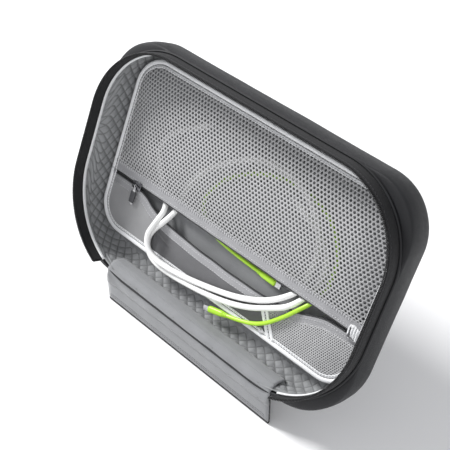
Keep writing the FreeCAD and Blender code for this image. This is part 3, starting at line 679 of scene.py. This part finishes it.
def make_shell():
    rows = []
    for k in range(6):
        turn = math.pi / 2 * k / 5
        rows.append(between(RIM.inset(0.2), SHELL, math.sin(turn), -18.3 - 2.5 * (1 - math.cos(turn))))
    for z, out in [(-24, 0.4), (-28, 0.7), (-32, 0.8), (-36, 0.6), (-40, 0.2)]:
        rows.append(on_plan(SHELL.inset(-out), z))
    for k in range(1, 13):
        turn = math.pi / 2 * k / 12
        inset = 18 * (1 - math.cos(turn))
        rows.append(on_plan(SHELL.inset(inset), -42 - 18 * math.sin(turn)))
    inner = SHELL.inset(18)
    for share in (0.97, 0.9, 0.8, 0.65, 0.5, 0.35, 0.2, 0.08):
        rows.append(towards_middle(inner, share, -60 - 0.9 * (1 - share * share)))
    builder = Builder()
    values = SHELL.stations(4)
    loft(builder, rows, values)
    builder.cap([rows[-1](t) for t in values])
    piece = builder.make("shell_cover", COVER)
    for vertex in piece.data.vertices:
        lump = noise.noise(vertex.co * 14) * 0.5 + noise.noise(vertex.co * 40) * 0.14
        vertex.co += vertex.normal * (lump * MM)
    solid = piece.modifiers.new("Thickness", "SOLIDIFY")
    solid.thickness = 1.2 * MM
    solid.offset = -1
    place(piece, "lid", "cover_fabric", "outer_cover")


def make_rim():
    builder = Builder()
    values = RIM.stations(3)
    builder.tube(line_on(RIM, values, -1.25, -16.9), 1.25, 10, closed=True)
    add(builder, "seam_piping", COVER, "rim_piping")

    values = RIM.stations(3, *ZIP_OPEN)
    profile = [
        (0.3, -19.2), (-0.1, -16), (-0.35, -12), (-0.3, -8), (0.1, -5.2), (0.35, -4.9), (0.3, -4.5),
        (0.0, -4.2), (0.2, -2.5), (1.4, -2.5), (1.3, -6), (1.0, -12), (1.3, -19.2),
    ]
    builder = Builder()
    sweep(builder, RIM, profile, values, False)
    add(builder, "rim_zip_tape", TAPE_DARK, "main_zip_tape")

    builder = Builder()
    coil(builder, line_on(RIM, values, 1.3, -1.2), 1.6, 1.9, 1.5, 0.42)
    builder.tube(line_on(RIM, values, 1.3, -1.2), 0.45, 6)
    add(builder, "rim_zip_coil", COIL_DARK, "main_zip_coil")

    builder = Builder()
    stitch(builder, line_on(RIM, values, 0.0, -15.6), 3.2, 2.2, 0.22, 0.0)
    stitch(builder, line_on(RIM, values, 0.05, -5.0), 3.2, 2.2, 0.2, 0.0)
    add(builder, "rim_zip_stitches", THREAD_DARK, slot="zip_tape_dark")

    profile = [(1.5, -17), (1.5, -15.2)]
    for k in range(9):
        turn = math.pi * (1 - k / 8)
        profile.append((2.3 + 0.9 * math.cos(turn), -14.0 + 1.1 * math.sin(turn)))
    profile += [(3.1, -15.4), (2.6, -16.4), (2.4, -17)]
    builder = Builder()
    sweep(builder, RIM, profile, values, False)
    add(builder, "lining_edge", TRIM, "lining_binding")


def quilt_height(along, down):
    """How far a diamond-quilted lining stands off its wall, and how near a seam it is."""
    first = (along + down) / QUILT_CELL
    second = (along - down) / QUILT_CELL
    near = min(abs(first - round(first)), abs(second - round(second)))
    return 1 - math.exp(-((near / 0.16) ** 1.3))


def make_side_lining():
    wall = SHELL.inset(8.2)
    profile = [(smooth_step(k, 0, 7), 0, -15.6 - 1.4 * k) for k in range(8)]
    profile += [(1, 0, -26.4 - 1.3 * k) for k in range(13)]
    for k in range(1, 13):
        turn = math.pi / 2 * k / 12
        profile.append((1, 9.8 * (1 - math.cos(turn)), -42 - 9.8 * math.sin(turn)))
    profile.append((1, 12, -51.8))
    values = wall.stations(1.3)
    lengths = running_lengths([(*wall.at(t)[:2], 0) for t in values], True)
    cells = round(lengths[-1] / MM / QUILT_CELL)
    stretch = cells * QUILT_CELL / (lengths[-1] / MM)
    rows, downs, down = [], [], 0.0
    alongs = [length * stretch for length in lengths]
    inner_rim = RIM.inset(2.7)
    for index, (share, inset, z) in enumerate(profile):
        if index:
            before = profile[index - 1]
            down += math.hypot(inset - before[1], z - before[2])
        downs.append(down * MM)
        lower = smooth_step(inset, 0, 9.8)
        row = []
        plan = wall.inset(inset)
        for t, along in zip(values, alongs):
            ax, ay = inner_rim.at(t)[:2]
            bx, by, out_x, out_y = plan.at(t)
            x, y = ax + (bx - ax) * share, ay + (by - ay) * share
            fade = smooth_step(index, 1, 4)
            lift = 1.8 * quilt_height(along / MM, down) * fade
            sag = 0.5 * noise.noise(Vector((x, y, z)) * 0.03)
            lift += sag * fade
            row.append((
                x - out_x * lift * (1 - lower), y - out_y * lift * (1 - lower), z + lift * lower,
            ))
        rows.append(row)
    builder = Builder()
    builder.grid(rows, close_row=True)
    builder.uvs = []
    for high, low in zip(downs, downs[1:]):
        for left, right in zip(alongs, alongs[1:]):
            builder.uvs += [(left, high), (right, high), (right, low), (left, low)]
    piece = add(builder, "quilted_lining", QUILT, "side_lining", thickness=0.8)


def make_back_lining():
    plan = SHELL.inset(16.4)
    values = plan.stations(4)
    rows = []
    for share in [1 - k / 30 for k in range(30)]:
        row = []
        for t in values:
            x, y, _ = towards_middle(plan, share, 0)(t)
            crease = noise.noise(Vector((x * 0.02, y * 0.035, 1.5))) * 0.5
            row.append((x, y, BACK_LEVEL - 0.4 + crease))
        rows.append(row)
    builder = Builder()
    builder.grid(rows, close_row=True)
    builder.cap(rows[-1])
    add(builder, "back_cloth", LINING, "back_lining", thickness=0.8)


make_shell()
make_rim()
make_side_lining()
make_back_lining()


# ---- pocket -----------------------------------------------------------------------------


def pocket_rise(x, y):
    """How far the filled pocket lifts its mesh, from nothing at its seams."""
    share = min(max(MESH_PLAN.distance(x, y), 0) / 42, 1)
    return 8.2 * (1 - (1 - share) ** 2) + 0.35 * noise.noise(Vector((x, y, 0)) * 0.04) * share


def perforate(builder, inside, level, span, pitch, hole):
    """A knitted mesh: hexagonal cells that share their edges, each round a hole."""
    known = {}

    def corner(x, y):
        key = (round(x, 2), round(y, 2))
        if key not in known:
            known[key] = len(builder.points)
            builder.points.append(Vector((x, y, level(x, y))))
        return known[key]

    (low_x, low_y), (high_x, high_y) = span
    side = pitch / math.sqrt(3)
    for row in range(int((high_y - low_y) / (side * 1.5)) + 1):
        y = low_y + row * side * 1.5
        for column in range(int((high_x - low_x) / pitch) + 1):
            x = low_x + (column + (row % 2) / 2) * pitch
            if not inside(x, y):
                continue
            rim, edge = [], []
            for k in range(12):
                way = Vector((math.cos(math.pi / 6 * k), math.sin(math.pi / 6 * k)))
                reach = side if k % 2 else pitch / 2
                rim.append((x + way.x * reach, y + way.y * reach))
                edge.append((x + way.x * hole, y + way.y * hole))
            for k in range(12):
                quad = [rim[k], rim[(k + 1) % 12], edge[(k + 1) % 12], edge[k]]
                builder.faces.append(tuple(corner(*point) for point in quad))
                builder.uvs.extend((point[0] * MM, point[1] * MM) for point in quad)


def make_mesh_panel():
    builder = Builder()
    perforate(
        builder, lambda x, y: MESH_PLAN.distance(x, y) > -0.6,
        lambda x, y: POCKET_LEVEL + 0.1 + pocket_rise(x, y),
        ((-164, 93), (164, 213)), 4.0, 1.32,
    )
    piece = add(builder, "pocket_mesh", MESH, "mesh_panel", thickness=0.6)


def edge_profile(inner_low, inner_high):
    """The bound edge: a rolled outside, a sewn groove and a flat inner flap."""
    profile = [(0.9, -50.2), (0.5, -46), (0.15, -43)]
    for k in range(11):
        turn = math.pi * k / 10
        profile.append((2.35 - 2.35 * math.cos(turn), -41.3 + 2.35 * math.sin(turn)))
    profile += [
        (5.0, inner_low - 0.75), (5.4, inner_low), (6.0, inner_low + 0.25), (7.3, inner_high + 0.25),
        (7.7, inner_high), (7.5, inner_high - 0.45), (5.2, inner_low - 1.3), (2.2, -43.5), (1.9, -50.2),
    ]
    return profile


def make_bindings():
    for name, values, flap in [
        ("upper", POCKET.stations(2.5, 2.2382, 6.7618), (-39.5, -38.7)),
        ("lower", [t % 8 for t in POCKET.stations(2.5, 6.767, 10.233)], (-40.1, -40.0)),
    ]:
        builder = Builder()
        sweep(builder, POCKET, edge_profile(*flap), values, False)
        add(builder, f"pocket_edge_{name}", TRIM, f"pocket_{name}_binding")
        builder = Builder()
        stitch(builder, line_on(POCKET, values, 4.9, flap[0] - 0.75), 3.1, 2.1, 0.3, 0.3)
        stitch(builder, line_on(POCKET, values, 6.8, flap[1] + 0.12), 3.1, 1.9, 0.16, 0.15)
        add(builder, f"pocket_edge_{name}_stitches", THREAD_DARK, slot="zip_tape_dark")


SLACK_EDGE = [
    (-160, 0), (-114, 0), (-92, -13), (-50, -17.3), (0, -18.6),
    (45, -18.8), (88, -14.3), (112, -3.8), (126, 0), (159, 0),
]


def slack_level(x):
    """The open edge stands a little proud of the pocket between the two ends of the gape."""
    share = min(max((x + 90) / 200, 0), 1)
    wave = 0.35 * math.sin(x * 0.16) * math.sin(math.pi * share)
    return POCKET_LEVEL + 1.1 * math.sin(math.pi * share) + wave


def slack_line(drop, lift=0.0):
    line = soft_curve([(x, ZIP_LINE - 0.65 + y, 0) for x, y in SLACK_EDGE], 2)
    moved = []
    for index, point in enumerate(line):
        way = (line[min(index + 1, len(line) - 1)] - line[max(index - 1, 0)]).normalized()
        spot = point + Vector((way.y, -way.x, 0)) * drop
        spot.z = slack_level(spot.x) + lift
        moved.append(spot)
    return moved


def height_at(line, x):
    """The y at which a line that runs towards +x passes x."""
    for before, after in zip(line, line[1:]):
        if before.x <= x <= after.x and after.x > before.x:
            share = (x - before.x) / (after.x - before.x)
            return before.y + (after.y - before.y) * share
    return line[0].y if x < line[0].x else line[-1].y


def make_pocket_zip():
    xs = [-159.5 + 2 * k for k in range(160)]
    rows = []
    profile = [(86.2, 0.0), (86.6, 0.15), (88.5, 0.2), (91, 0.2), (93.5, 0.3), (95.4, 0.55), (96.6, 0.9)]
    for y, lift in profile:
        rows.append([(x, y, POCKET_LEVEL + 0.3 + lift + 0.12 * math.sin(x * 0.23)) for x in xs])
    builder = Builder()
    builder.grid(rows)
    add(builder, "zip_tape_upper", TAPE_LIGHT, "pocket_zip_tape_upper", thickness=0.6)

    builder = Builder()
    builder.grid([slack_line(drop, lift) for drop, lift in [
        (1.5, 0.5), (2.2, 0.5), (4, 0.35), (6, 0.2), (8, 0.05), (10, 0.0), (10.7, -0.15),
    ]])
    add(builder, "zip_tape_lower", TAPE_LIGHT, "pocket_zip_tape_lower", thickness=0.6)

    straight = [Vector((x, ZIP_LINE + 1.35, POCKET_LEVEL)) for x in (-159, 145)]
    for name, line in [("upper", straight), ("lower", slack_line(0.7, 0.3))]:
        line = [point for point in line if point.x < 146]
        builder = Builder()
        coil(builder, line, 1.5, 1.35, 1.5, 0.34)
        builder.tube(line, 0.4, 5)
        add(builder, f"zip_coil_{name}", COIL_LIGHT, f"pocket_zip_coil_{name}")

    builder = Builder()
    upper_seam = [Vector((x, 95.6, POCKET_LEVEL + 1.1)) for x in (-156, 146)]
    stitch(builder, upper_seam, 2.7, 3.4, 0.27, 0.3, math.pi / 2)
    stitch(builder, [Vector((x, 88.6, POCKET_LEVEL + 0.85)) for x in (-156, 150)], 3.0, 2.0, 0.2, 0.15)
    stitch(builder, slack_line(4.2, 0.7), 3.0, 2.0, 0.2, 0.15)
    stitch(builder, slack_line(9.6, 0.4), 3.0, 2.0, 0.2, 0.15)
    add(builder, "zip_stitches", THREAD_LIGHT, slot="zip_tape_light")


def make_zip_tab():
    """The folded tape that closes the zip's open end, puckered where it is sewn down."""
    rows = []
    for j in range(17):
        v = j / 16
        row = []
        for i in range(29):
            u = i / 28
            pleat = abs(math.sin(math.pi * (4.5 * u + 0.5 * v)))
            edge = math.sin(math.pi * min(max(v, 0), 1)) ** 0.4
            row.append((
                144.5 + 13 * u,
                80.5 + 11 * v + 1.2 * math.sin(5 * u),
                POCKET_LEVEL + 0.8 + 1.9 * pleat * edge,
            ))
        rows.append(row)
    builder = Builder()
    builder.grid(rows)
    add(builder, "zip_end_tab", TRIM, "pocket_zip_tab", slot="zip_tape_light", thickness=0.7)
    builder = Builder()
    bar = [Vector((146.5, y, POCKET_LEVEL + 2.2)) for y in (81.5, 90.5)]
    stitch(builder, bar, 0.9, 3.4, 0.3, 0.25, math.pi / 2)
    add(builder, "zip_end_bartack", THREAD_DARK, slot="zip_tape_dark")


def near_edge(x):
    half, near, _, radius, _ = PANEL_PLAN.sizes
    over = abs(x) - (half - radius)
    return near + (radius - math.sqrt(max(radius**2 - over**2, 0)) if over > 0 else 0)


SEAM_FOOT = Vector((80, 27))
SEAM_WAY = Vector((-22, 30)).normalized()


def panel_level(x, y):
    fold = Vector((x + 72, y - 50))
    along = fold.x * 0.97 - fold.y * 0.24
    across = fold.x * 0.24 + fold.y * 0.97
    window = math.exp(-((along / 11) ** 2))
    ridge = 1.3 * math.exp(-(((across - 1.6) / 1.5) ** 2)) - 1.6 * math.exp(-(((across + 1.2) / 1.2) ** 2))
    cloth = noise.noise(Vector((x * 0.035, y * 0.06, 0))) * 0.5
    return POCKET_LEVEL + 0.2 + cloth + ridge * window * 0.8


def panel_far(x):
    return height_at(PANEL_FAR, x)


PANEL_FAR = slack_line(9.4)


def make_lower_panels():
    def seam_x(y):
        return SEAM_FOOT.x + SEAM_WAY.x * (y - SEAM_FOOT.y) / SEAM_WAY.y

    def cloth(name, low, high, material, node, flat, area):
        """A sheet between two seams, each given as x for the share of the way up."""
        rows = []
        for j in range(21):
            share = j / 20
            row = []
            for i in range(61):
                u = i / 60
                x = low(share) + (high(share) - low(share)) * u
                y = near_edge(x) + (panel_far(x) - near_edge(x)) * share
                blend = smooth_step(share, 0.75, 1.0)
                z = panel_level(x, y) * (1 - blend) + (slack_level(x) - 0.35) * blend
                row.append((x, y, z))
            rows.append(row)
        builder = Builder()
        builder.grid(rows)
        piece = add(builder, name, material, node, thickness=0.7)

    def seam(share):
        return seam_x(29.7 + 31 * share)

    left, split = -159.8, -88
    cloth(
        "panel_cloth_left", lambda share: left, lambda share: split, PANEL_LIGHT,
        "lower_panel_left", (0.072, 0.045), 0.0028,
    )
    # The centre sheet gets the shaded copy of the panel cloth: painted shade on the same fabric, not a
    # darker fabric.
    cloth(
        "panel_cloth_centre", lambda share: split, seam, PANEL_SHADED,
        "lower_panel_centre", (0.165, 0.033), 0.0044,
    )

    def inside(x, y):
        return x > seam_x(y) - 1 and x < 159.5 and near_edge(x) - 1 < y < panel_far(x) + 1

    builder = Builder()
    perforate(builder, inside, lambda x, y: panel_level(x, y), ((40, 27), (162, 76)), 2.4, 0.62)
    piece = add(builder, "panel_mesh_right", MESH, "lower_panel_right", thickness=0.5)


def make_divider():
    """The ribbon over the slanted seam: two rolled edges and a sewn groove between them."""
    across = Vector((-SEAM_WAY.y, SEAM_WAY.x))
    profile = [
        (-4, 0.2), (-3.6, 0.8), (-2.6, 1.05), (-1.6, 0.85), (-0.9, 0.25), (0, 0.1),
        (0.9, 0.25), (1.6, 0.85), (2.6, 1.05), (3.6, 0.8), (4, 0.2),
    ]
    rows = []
    for k in range(16):
        at = SEAM_FOOT + SEAM_WAY * (3.5 + 31 * k / 15)
        level = panel_level(at.x, at.y) + 0.3
        rows.append([(at.x + across.x * n, at.y + across.y * n, level + z) for n, z in profile])
    builder = Builder()
    builder.grid(rows)
    add(builder, "divider_tape", TRIM, "divider_ribbon", thickness=0.5)
    builder = Builder()
    line = [SEAM_FOOT + SEAM_WAY * along for along in (4.5, 33)]
    stitch(builder, [Vector((*at, POCKET_LEVEL + 0.95)) for at in line], 2.6, 1.7, 0.32, 0.3)
    add(builder, "divider_stitches", THREAD_DARK, slot="zip_tape_dark")


def turned(builder, centre, profile, sides=32):
    """A round piece that stands along z: rings of (radius, height)."""
    rings = []
    for radius, height in profile:
        ring = []
        for k in range(sides):
            turn = 2 * math.pi * k / sides
            ring.append(centre + Vector((math.cos(turn) * radius, math.sin(turn) * radius, height)))
        rings.append(ring)
    builder.skin(rings)


def make_stud():
    centre = Vector((64, 33.5, POCKET_LEVEL + 0.6))
    builder = Builder()
    turned(builder, centre, [
        (2.6, -0.1), (3.0, 0.1), (3.05, 0.4), (2.7, 0.75), (2.1, 0.85), (1.5, 1.0), (1.35, 1.4),
        (1.75, 1.7), (1.9, 2.1), (1.6, 2.5), (0.8, 2.65),
    ])
    add(builder, "panel_stud", METAL, "snap_stud")


# ---- slider and pull --------------------------------------------------------------------

SLIDER = Vector((-124, ZIP_LINE, POCKET_LEVEL))
PIN_LEVEL = 3.65


def plate(builder, outline, low, high, edge=0.25):
    """A flat plate with softened edges on an outline of (x, y) about the slider's centre."""
    rows = []
    for shrink, z in [(edge, low), (0, low + edge), (0, high - edge), (edge, high)]:
        row = []
        for x, y in outline:
            reach = math.hypot(x, y)
            row.append(SLIDER + Vector((x * (1 - shrink / reach), y * (1 - shrink / reach), z)))
        rows.append(row)
    builder.skin(rows)


def make_slider():
    half = [
        (-6, 1.6), (-5.8, 2.8), (-5.0, 3.5), (-3, 3.8), (-1, 4.0), (1, 4.4), (3, 4.65), (4.6, 4.6),
        (5.6, 4.0), (6, 3.0), (5.9, 1.4),
    ]
    outline = [*half, *[(x, -y) for x, y in reversed(half)]]
    builder = Builder()
    plate(builder, outline, 1.25, 2.25)
    plate(builder, outline, -2.25, -1.25)
    for sign in (1, -1):
        rim = [(x, y * sign) for x, y in half[2:9]]
        for low, high in ((0.65, 1.3), (-1.3, -0.65)):
            inner = [(x, y - 0.55 * sign) for x, y in rim]
            rows = []
            for z in (low, high):
                rows.append([SLIDER + Vector((x, y, z)) for x, y in [*rim, *reversed(inner)]])
            builder.grid(rows, close_row=True)
    nose = [Vector((4.9, 0, z)) + SLIDER for z in (-1.3, 1.3)]
    builder.tube(nose, 0.3, 8)
    arch = [
        (-4.6, 2.0), (-4.55, 3.0), (-4.1, 3.5), (-3.3, PIN_LEVEL), (0, PIN_LEVEL),
        (3.3, PIN_LEVEL), (4.1, 3.5), (4.55, 3.0), (4.6, 2.0),
    ]
    builder.tube([SLIDER + Vector((x, 0, z)) for x, z in arch], 0.7, 12)
    add(builder, "zip_slider", METAL_DARK, "pocket_slider", body="pocket_slider")


def pull_rows(profile, power=0.45, count=28):
    """Rows of a soft flat bar along -y from the pin: (distance, half width, half thickness)."""
    return [
        [
            SLIDER + Vector((x * wide, -along, PIN_LEVEL + z * thick))
            for x, z in soft_ring(power, count)
        ]
        for along, wide, thick in profile
    ]


def make_pull():
    builder = Builder()
    eye = []
    for k in range(20):
        turn = 2 * math.pi * k / 20
        eye.append(SLIDER + Vector((0, math.cos(turn) * 1.3, PIN_LEVEL + math.sin(turn) * 1.3)))
    builder.tube(eye, 0.45, 10, closed=True)
    rows = pull_rows([
        (1.4, 0.8, 0.3), (1.7, 1.2, 0.45), (4.5, 1.3, 0.5), (5.5, 2.0, 0.5), (6.5, 2.35, 0.5),
        (19, 2.35, 0.5), (19.8, 2.1, 0.45), (20.2, 1.4, 0.3),
    ])
    builder.skin(rows)
    add(builder, "zip_pull", METAL, "pocket_pull", body="pocket_pull")

    builder = Builder()
    rows = pull_rows([
        (6.1, 2.5, 0.75), (6.4, 2.95, 0.95), (7.2, 3.15, 1.0), (9, 3.2, 1.0), (9.5, 3.1, 0.85),
        (10, 3.2, 1.0), (11, 3.2, 1.0), (11.5, 3.1, 0.85), (12, 3.2, 1.0), (13, 3.2, 1.0),
        (13.5, 3.1, 0.85), (14, 3.2, 1.0), (16.8, 3.15, 1.0), (17.8, 2.95, 0.92), (18.2, 2.5, 0.7),
    ])
    builder.skin(rows)
    add(builder, "zip_pull_grip", GRIP, "pocket_pull_sleeve", body="pocket_pull")


# ---- hinge ------------------------------------------------------------------------------


def make_hinge():
    """The sewing flange, its lining, hem and stitches."""
    wide = [-110 + 4 * k for k in range(56)]

    for name, across, material, thickness, node in [
        ("flange_cloth", -0.6, COVER, 1.1, "hinge_flange_outer"),
        ("flange_lining", -2.2, LINING, 1.0, "hinge_flange_lining"),
    ]:
        builder = Builder(row_point)
        builder.grid([[(x, across, -15 + 3 * k) for x in wide] for k in range(11)])
        add(builder, name, material, node, body="hinge_flange", thickness=thickness)

    profile = []
    for k in range(9):
        turn = math.pi * (1 + k / 8)
        profile.append((-1.45 + 1.45 * math.cos(turn), -16.7 + 1.6 * math.sin(turn)))
    profile += [(0.0, -15.3), (-0.5, -15.1), (-2.4, -15.1), (-2.9, -15.3)]
    builder = Builder(row_point)
    rows = [[(x, y, z) for y, z in profile] for x in wide]
    builder.skin(rows)
    add(builder, "flange_hem", TAPE_DARK, "hinge_flange_hem", body="hinge_flange")

    builder = Builder(row_point)
    for z in (-11, -8.5, 11):
        stitch(builder, [Vector((x, -2.75, z)) for x in (-107, 107)], 3.2, 2.2, 0.22, 0)
    add(builder, "flange_stitches", THREAD_DARK, body="hinge_flange", slot="zip_tape_dark")


def in_lid(y, z):
    """The row frame's (Y, Z) in millimetres of a point across the open lid."""
    point = lid_point(0, y, z) / MM
    return point.y, point.z


def make_hinge_fold():
    """The cloth laid in a bend between the sewn flange and the lid, and the strip inside it."""
    wide = [-109.5 + 3 * k for k in range(74)]
    outer = [(-0.5, 9), (-0.4, 12), (-0.3, 15), (-0.35, 18), (-0.2, 20.5)]
    outer += [in_lid(-1.9, -19.5), in_lid(-2.3, -22), in_lid(-2.4, -25)]
    inner = [(-2.9, 8), (-3.0, 11), (-2.9, 14), (-2.4, 17.5), (-1.4, 20.5)]
    inner += [in_lid(2.6, -15.8), in_lid(5.6, -17.2), in_lid(8.0, -19.6), in_lid(9.6, -23)]
    for name, rows, material, start, end in [
        ("hinge_fold_outer", outer, COVER, (0, -0.4, 14), (0, 0.6, 20.5)),
        ("hinge_fold_inner", inner, LINING, (0, -2.9, 13), (0, -0.7, 22)),
    ]:
        builder = Builder(row_point)
        builder.grid([
            [(x, y + 0.5 * noise.noise(Vector((x * 0.05, z * 0.1, y))), z) for x in wide]
            for y, z in rows
        ])
        piece = builder.make(name, material, thickness=0.9)
        slot_of(material)
        tuple(row_point(*start))
        tuple(row_point(*end))
        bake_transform(piece)

    rows = []
    for k in range(16):
        z = -20.5 - 16 * k / 15
        y = 9.0 + 1.2 * smooth_step(k, 0, 4) - 1.2 * smooth_step(k, 12, 15)
        rows.append([(x, y + 0.5 * noise.noise(Vector((x * 0.03, z * 0.09, 3))), z) for x in wide])
    builder = Builder()
    builder.grid(rows)
    add(builder, "hinge_strip", LINING, "hinge_lining", thickness=0.8)


make_mesh_panel()
make_bindings()
make_pocket_zip()
make_zip_tab()
make_lower_panels()
make_divider()
make_stud()
make_slider()
make_pull()
make_hinge()
make_hinge_fold()


# ---- floor and light --------------------------------------------------------------------


def make_floor():
    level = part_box("hinge_flange_hem")[0][2] - 0.0001
    work = bpy.data.meshes.new("floor")
    size = 4
    work.from_pydata(
        [(-size, -size, level), (size, -size, level), (size, size, level), (-size, size, level)],
        [], [(0, 1, 2, 3)],
    )
    surface = Surface("floor_paper", 0.7, specular=0.2)
    patch = surface.ramp(surface.noise(3), 0.3, 0.7)
    surface.colour(surface.mix(patch, (0.90, 0.90, 0.905), (0.93, 0.93, 0.93)))
    work.materials.append(surface.material)
    floor = bpy.data.objects.new("floor", work)
    bpy.context.scene.collection.objects.link(floor)


def add_lamp(name, where, aim, size, power, colour=(1, 1, 1)):
    data = bpy.data.lights.new(name, "AREA")
    data.size = size
    data.energy = power
    data.color = colour
    lamp = bpy.data.objects.new(name, data)
    lamp.location = where
    lamp.rotation_euler = (Vector(aim) - Vector(where)).to_track_quat("-Z", "Y").to_euler()
    bpy.context.scene.collection.objects.link(lamp)


def make_light():
    middle = lid_point(0, 114, -30)
    add_lamp("key", middle + Vector((-2.1, -0.5, 2.0)), middle, 0.8, 110)
    add_lamp("fill", middle + Vector((1.2, -1.0, 0.7)), middle, 1.2, 6)
    world = bpy.data.worlds.new("studio")
    world.use_nodes = True
    world.node_tree.nodes["Background"].inputs["Color"].default_value = (0.96, 0.97, 1, 1)
    world.node_tree.nodes["Background"].inputs["Strength"].default_value = 0.6
    bpy.context.scene.world = world
    bpy.context.scene.view_settings.view_transform = "Standard"


make_floor()
make_light()
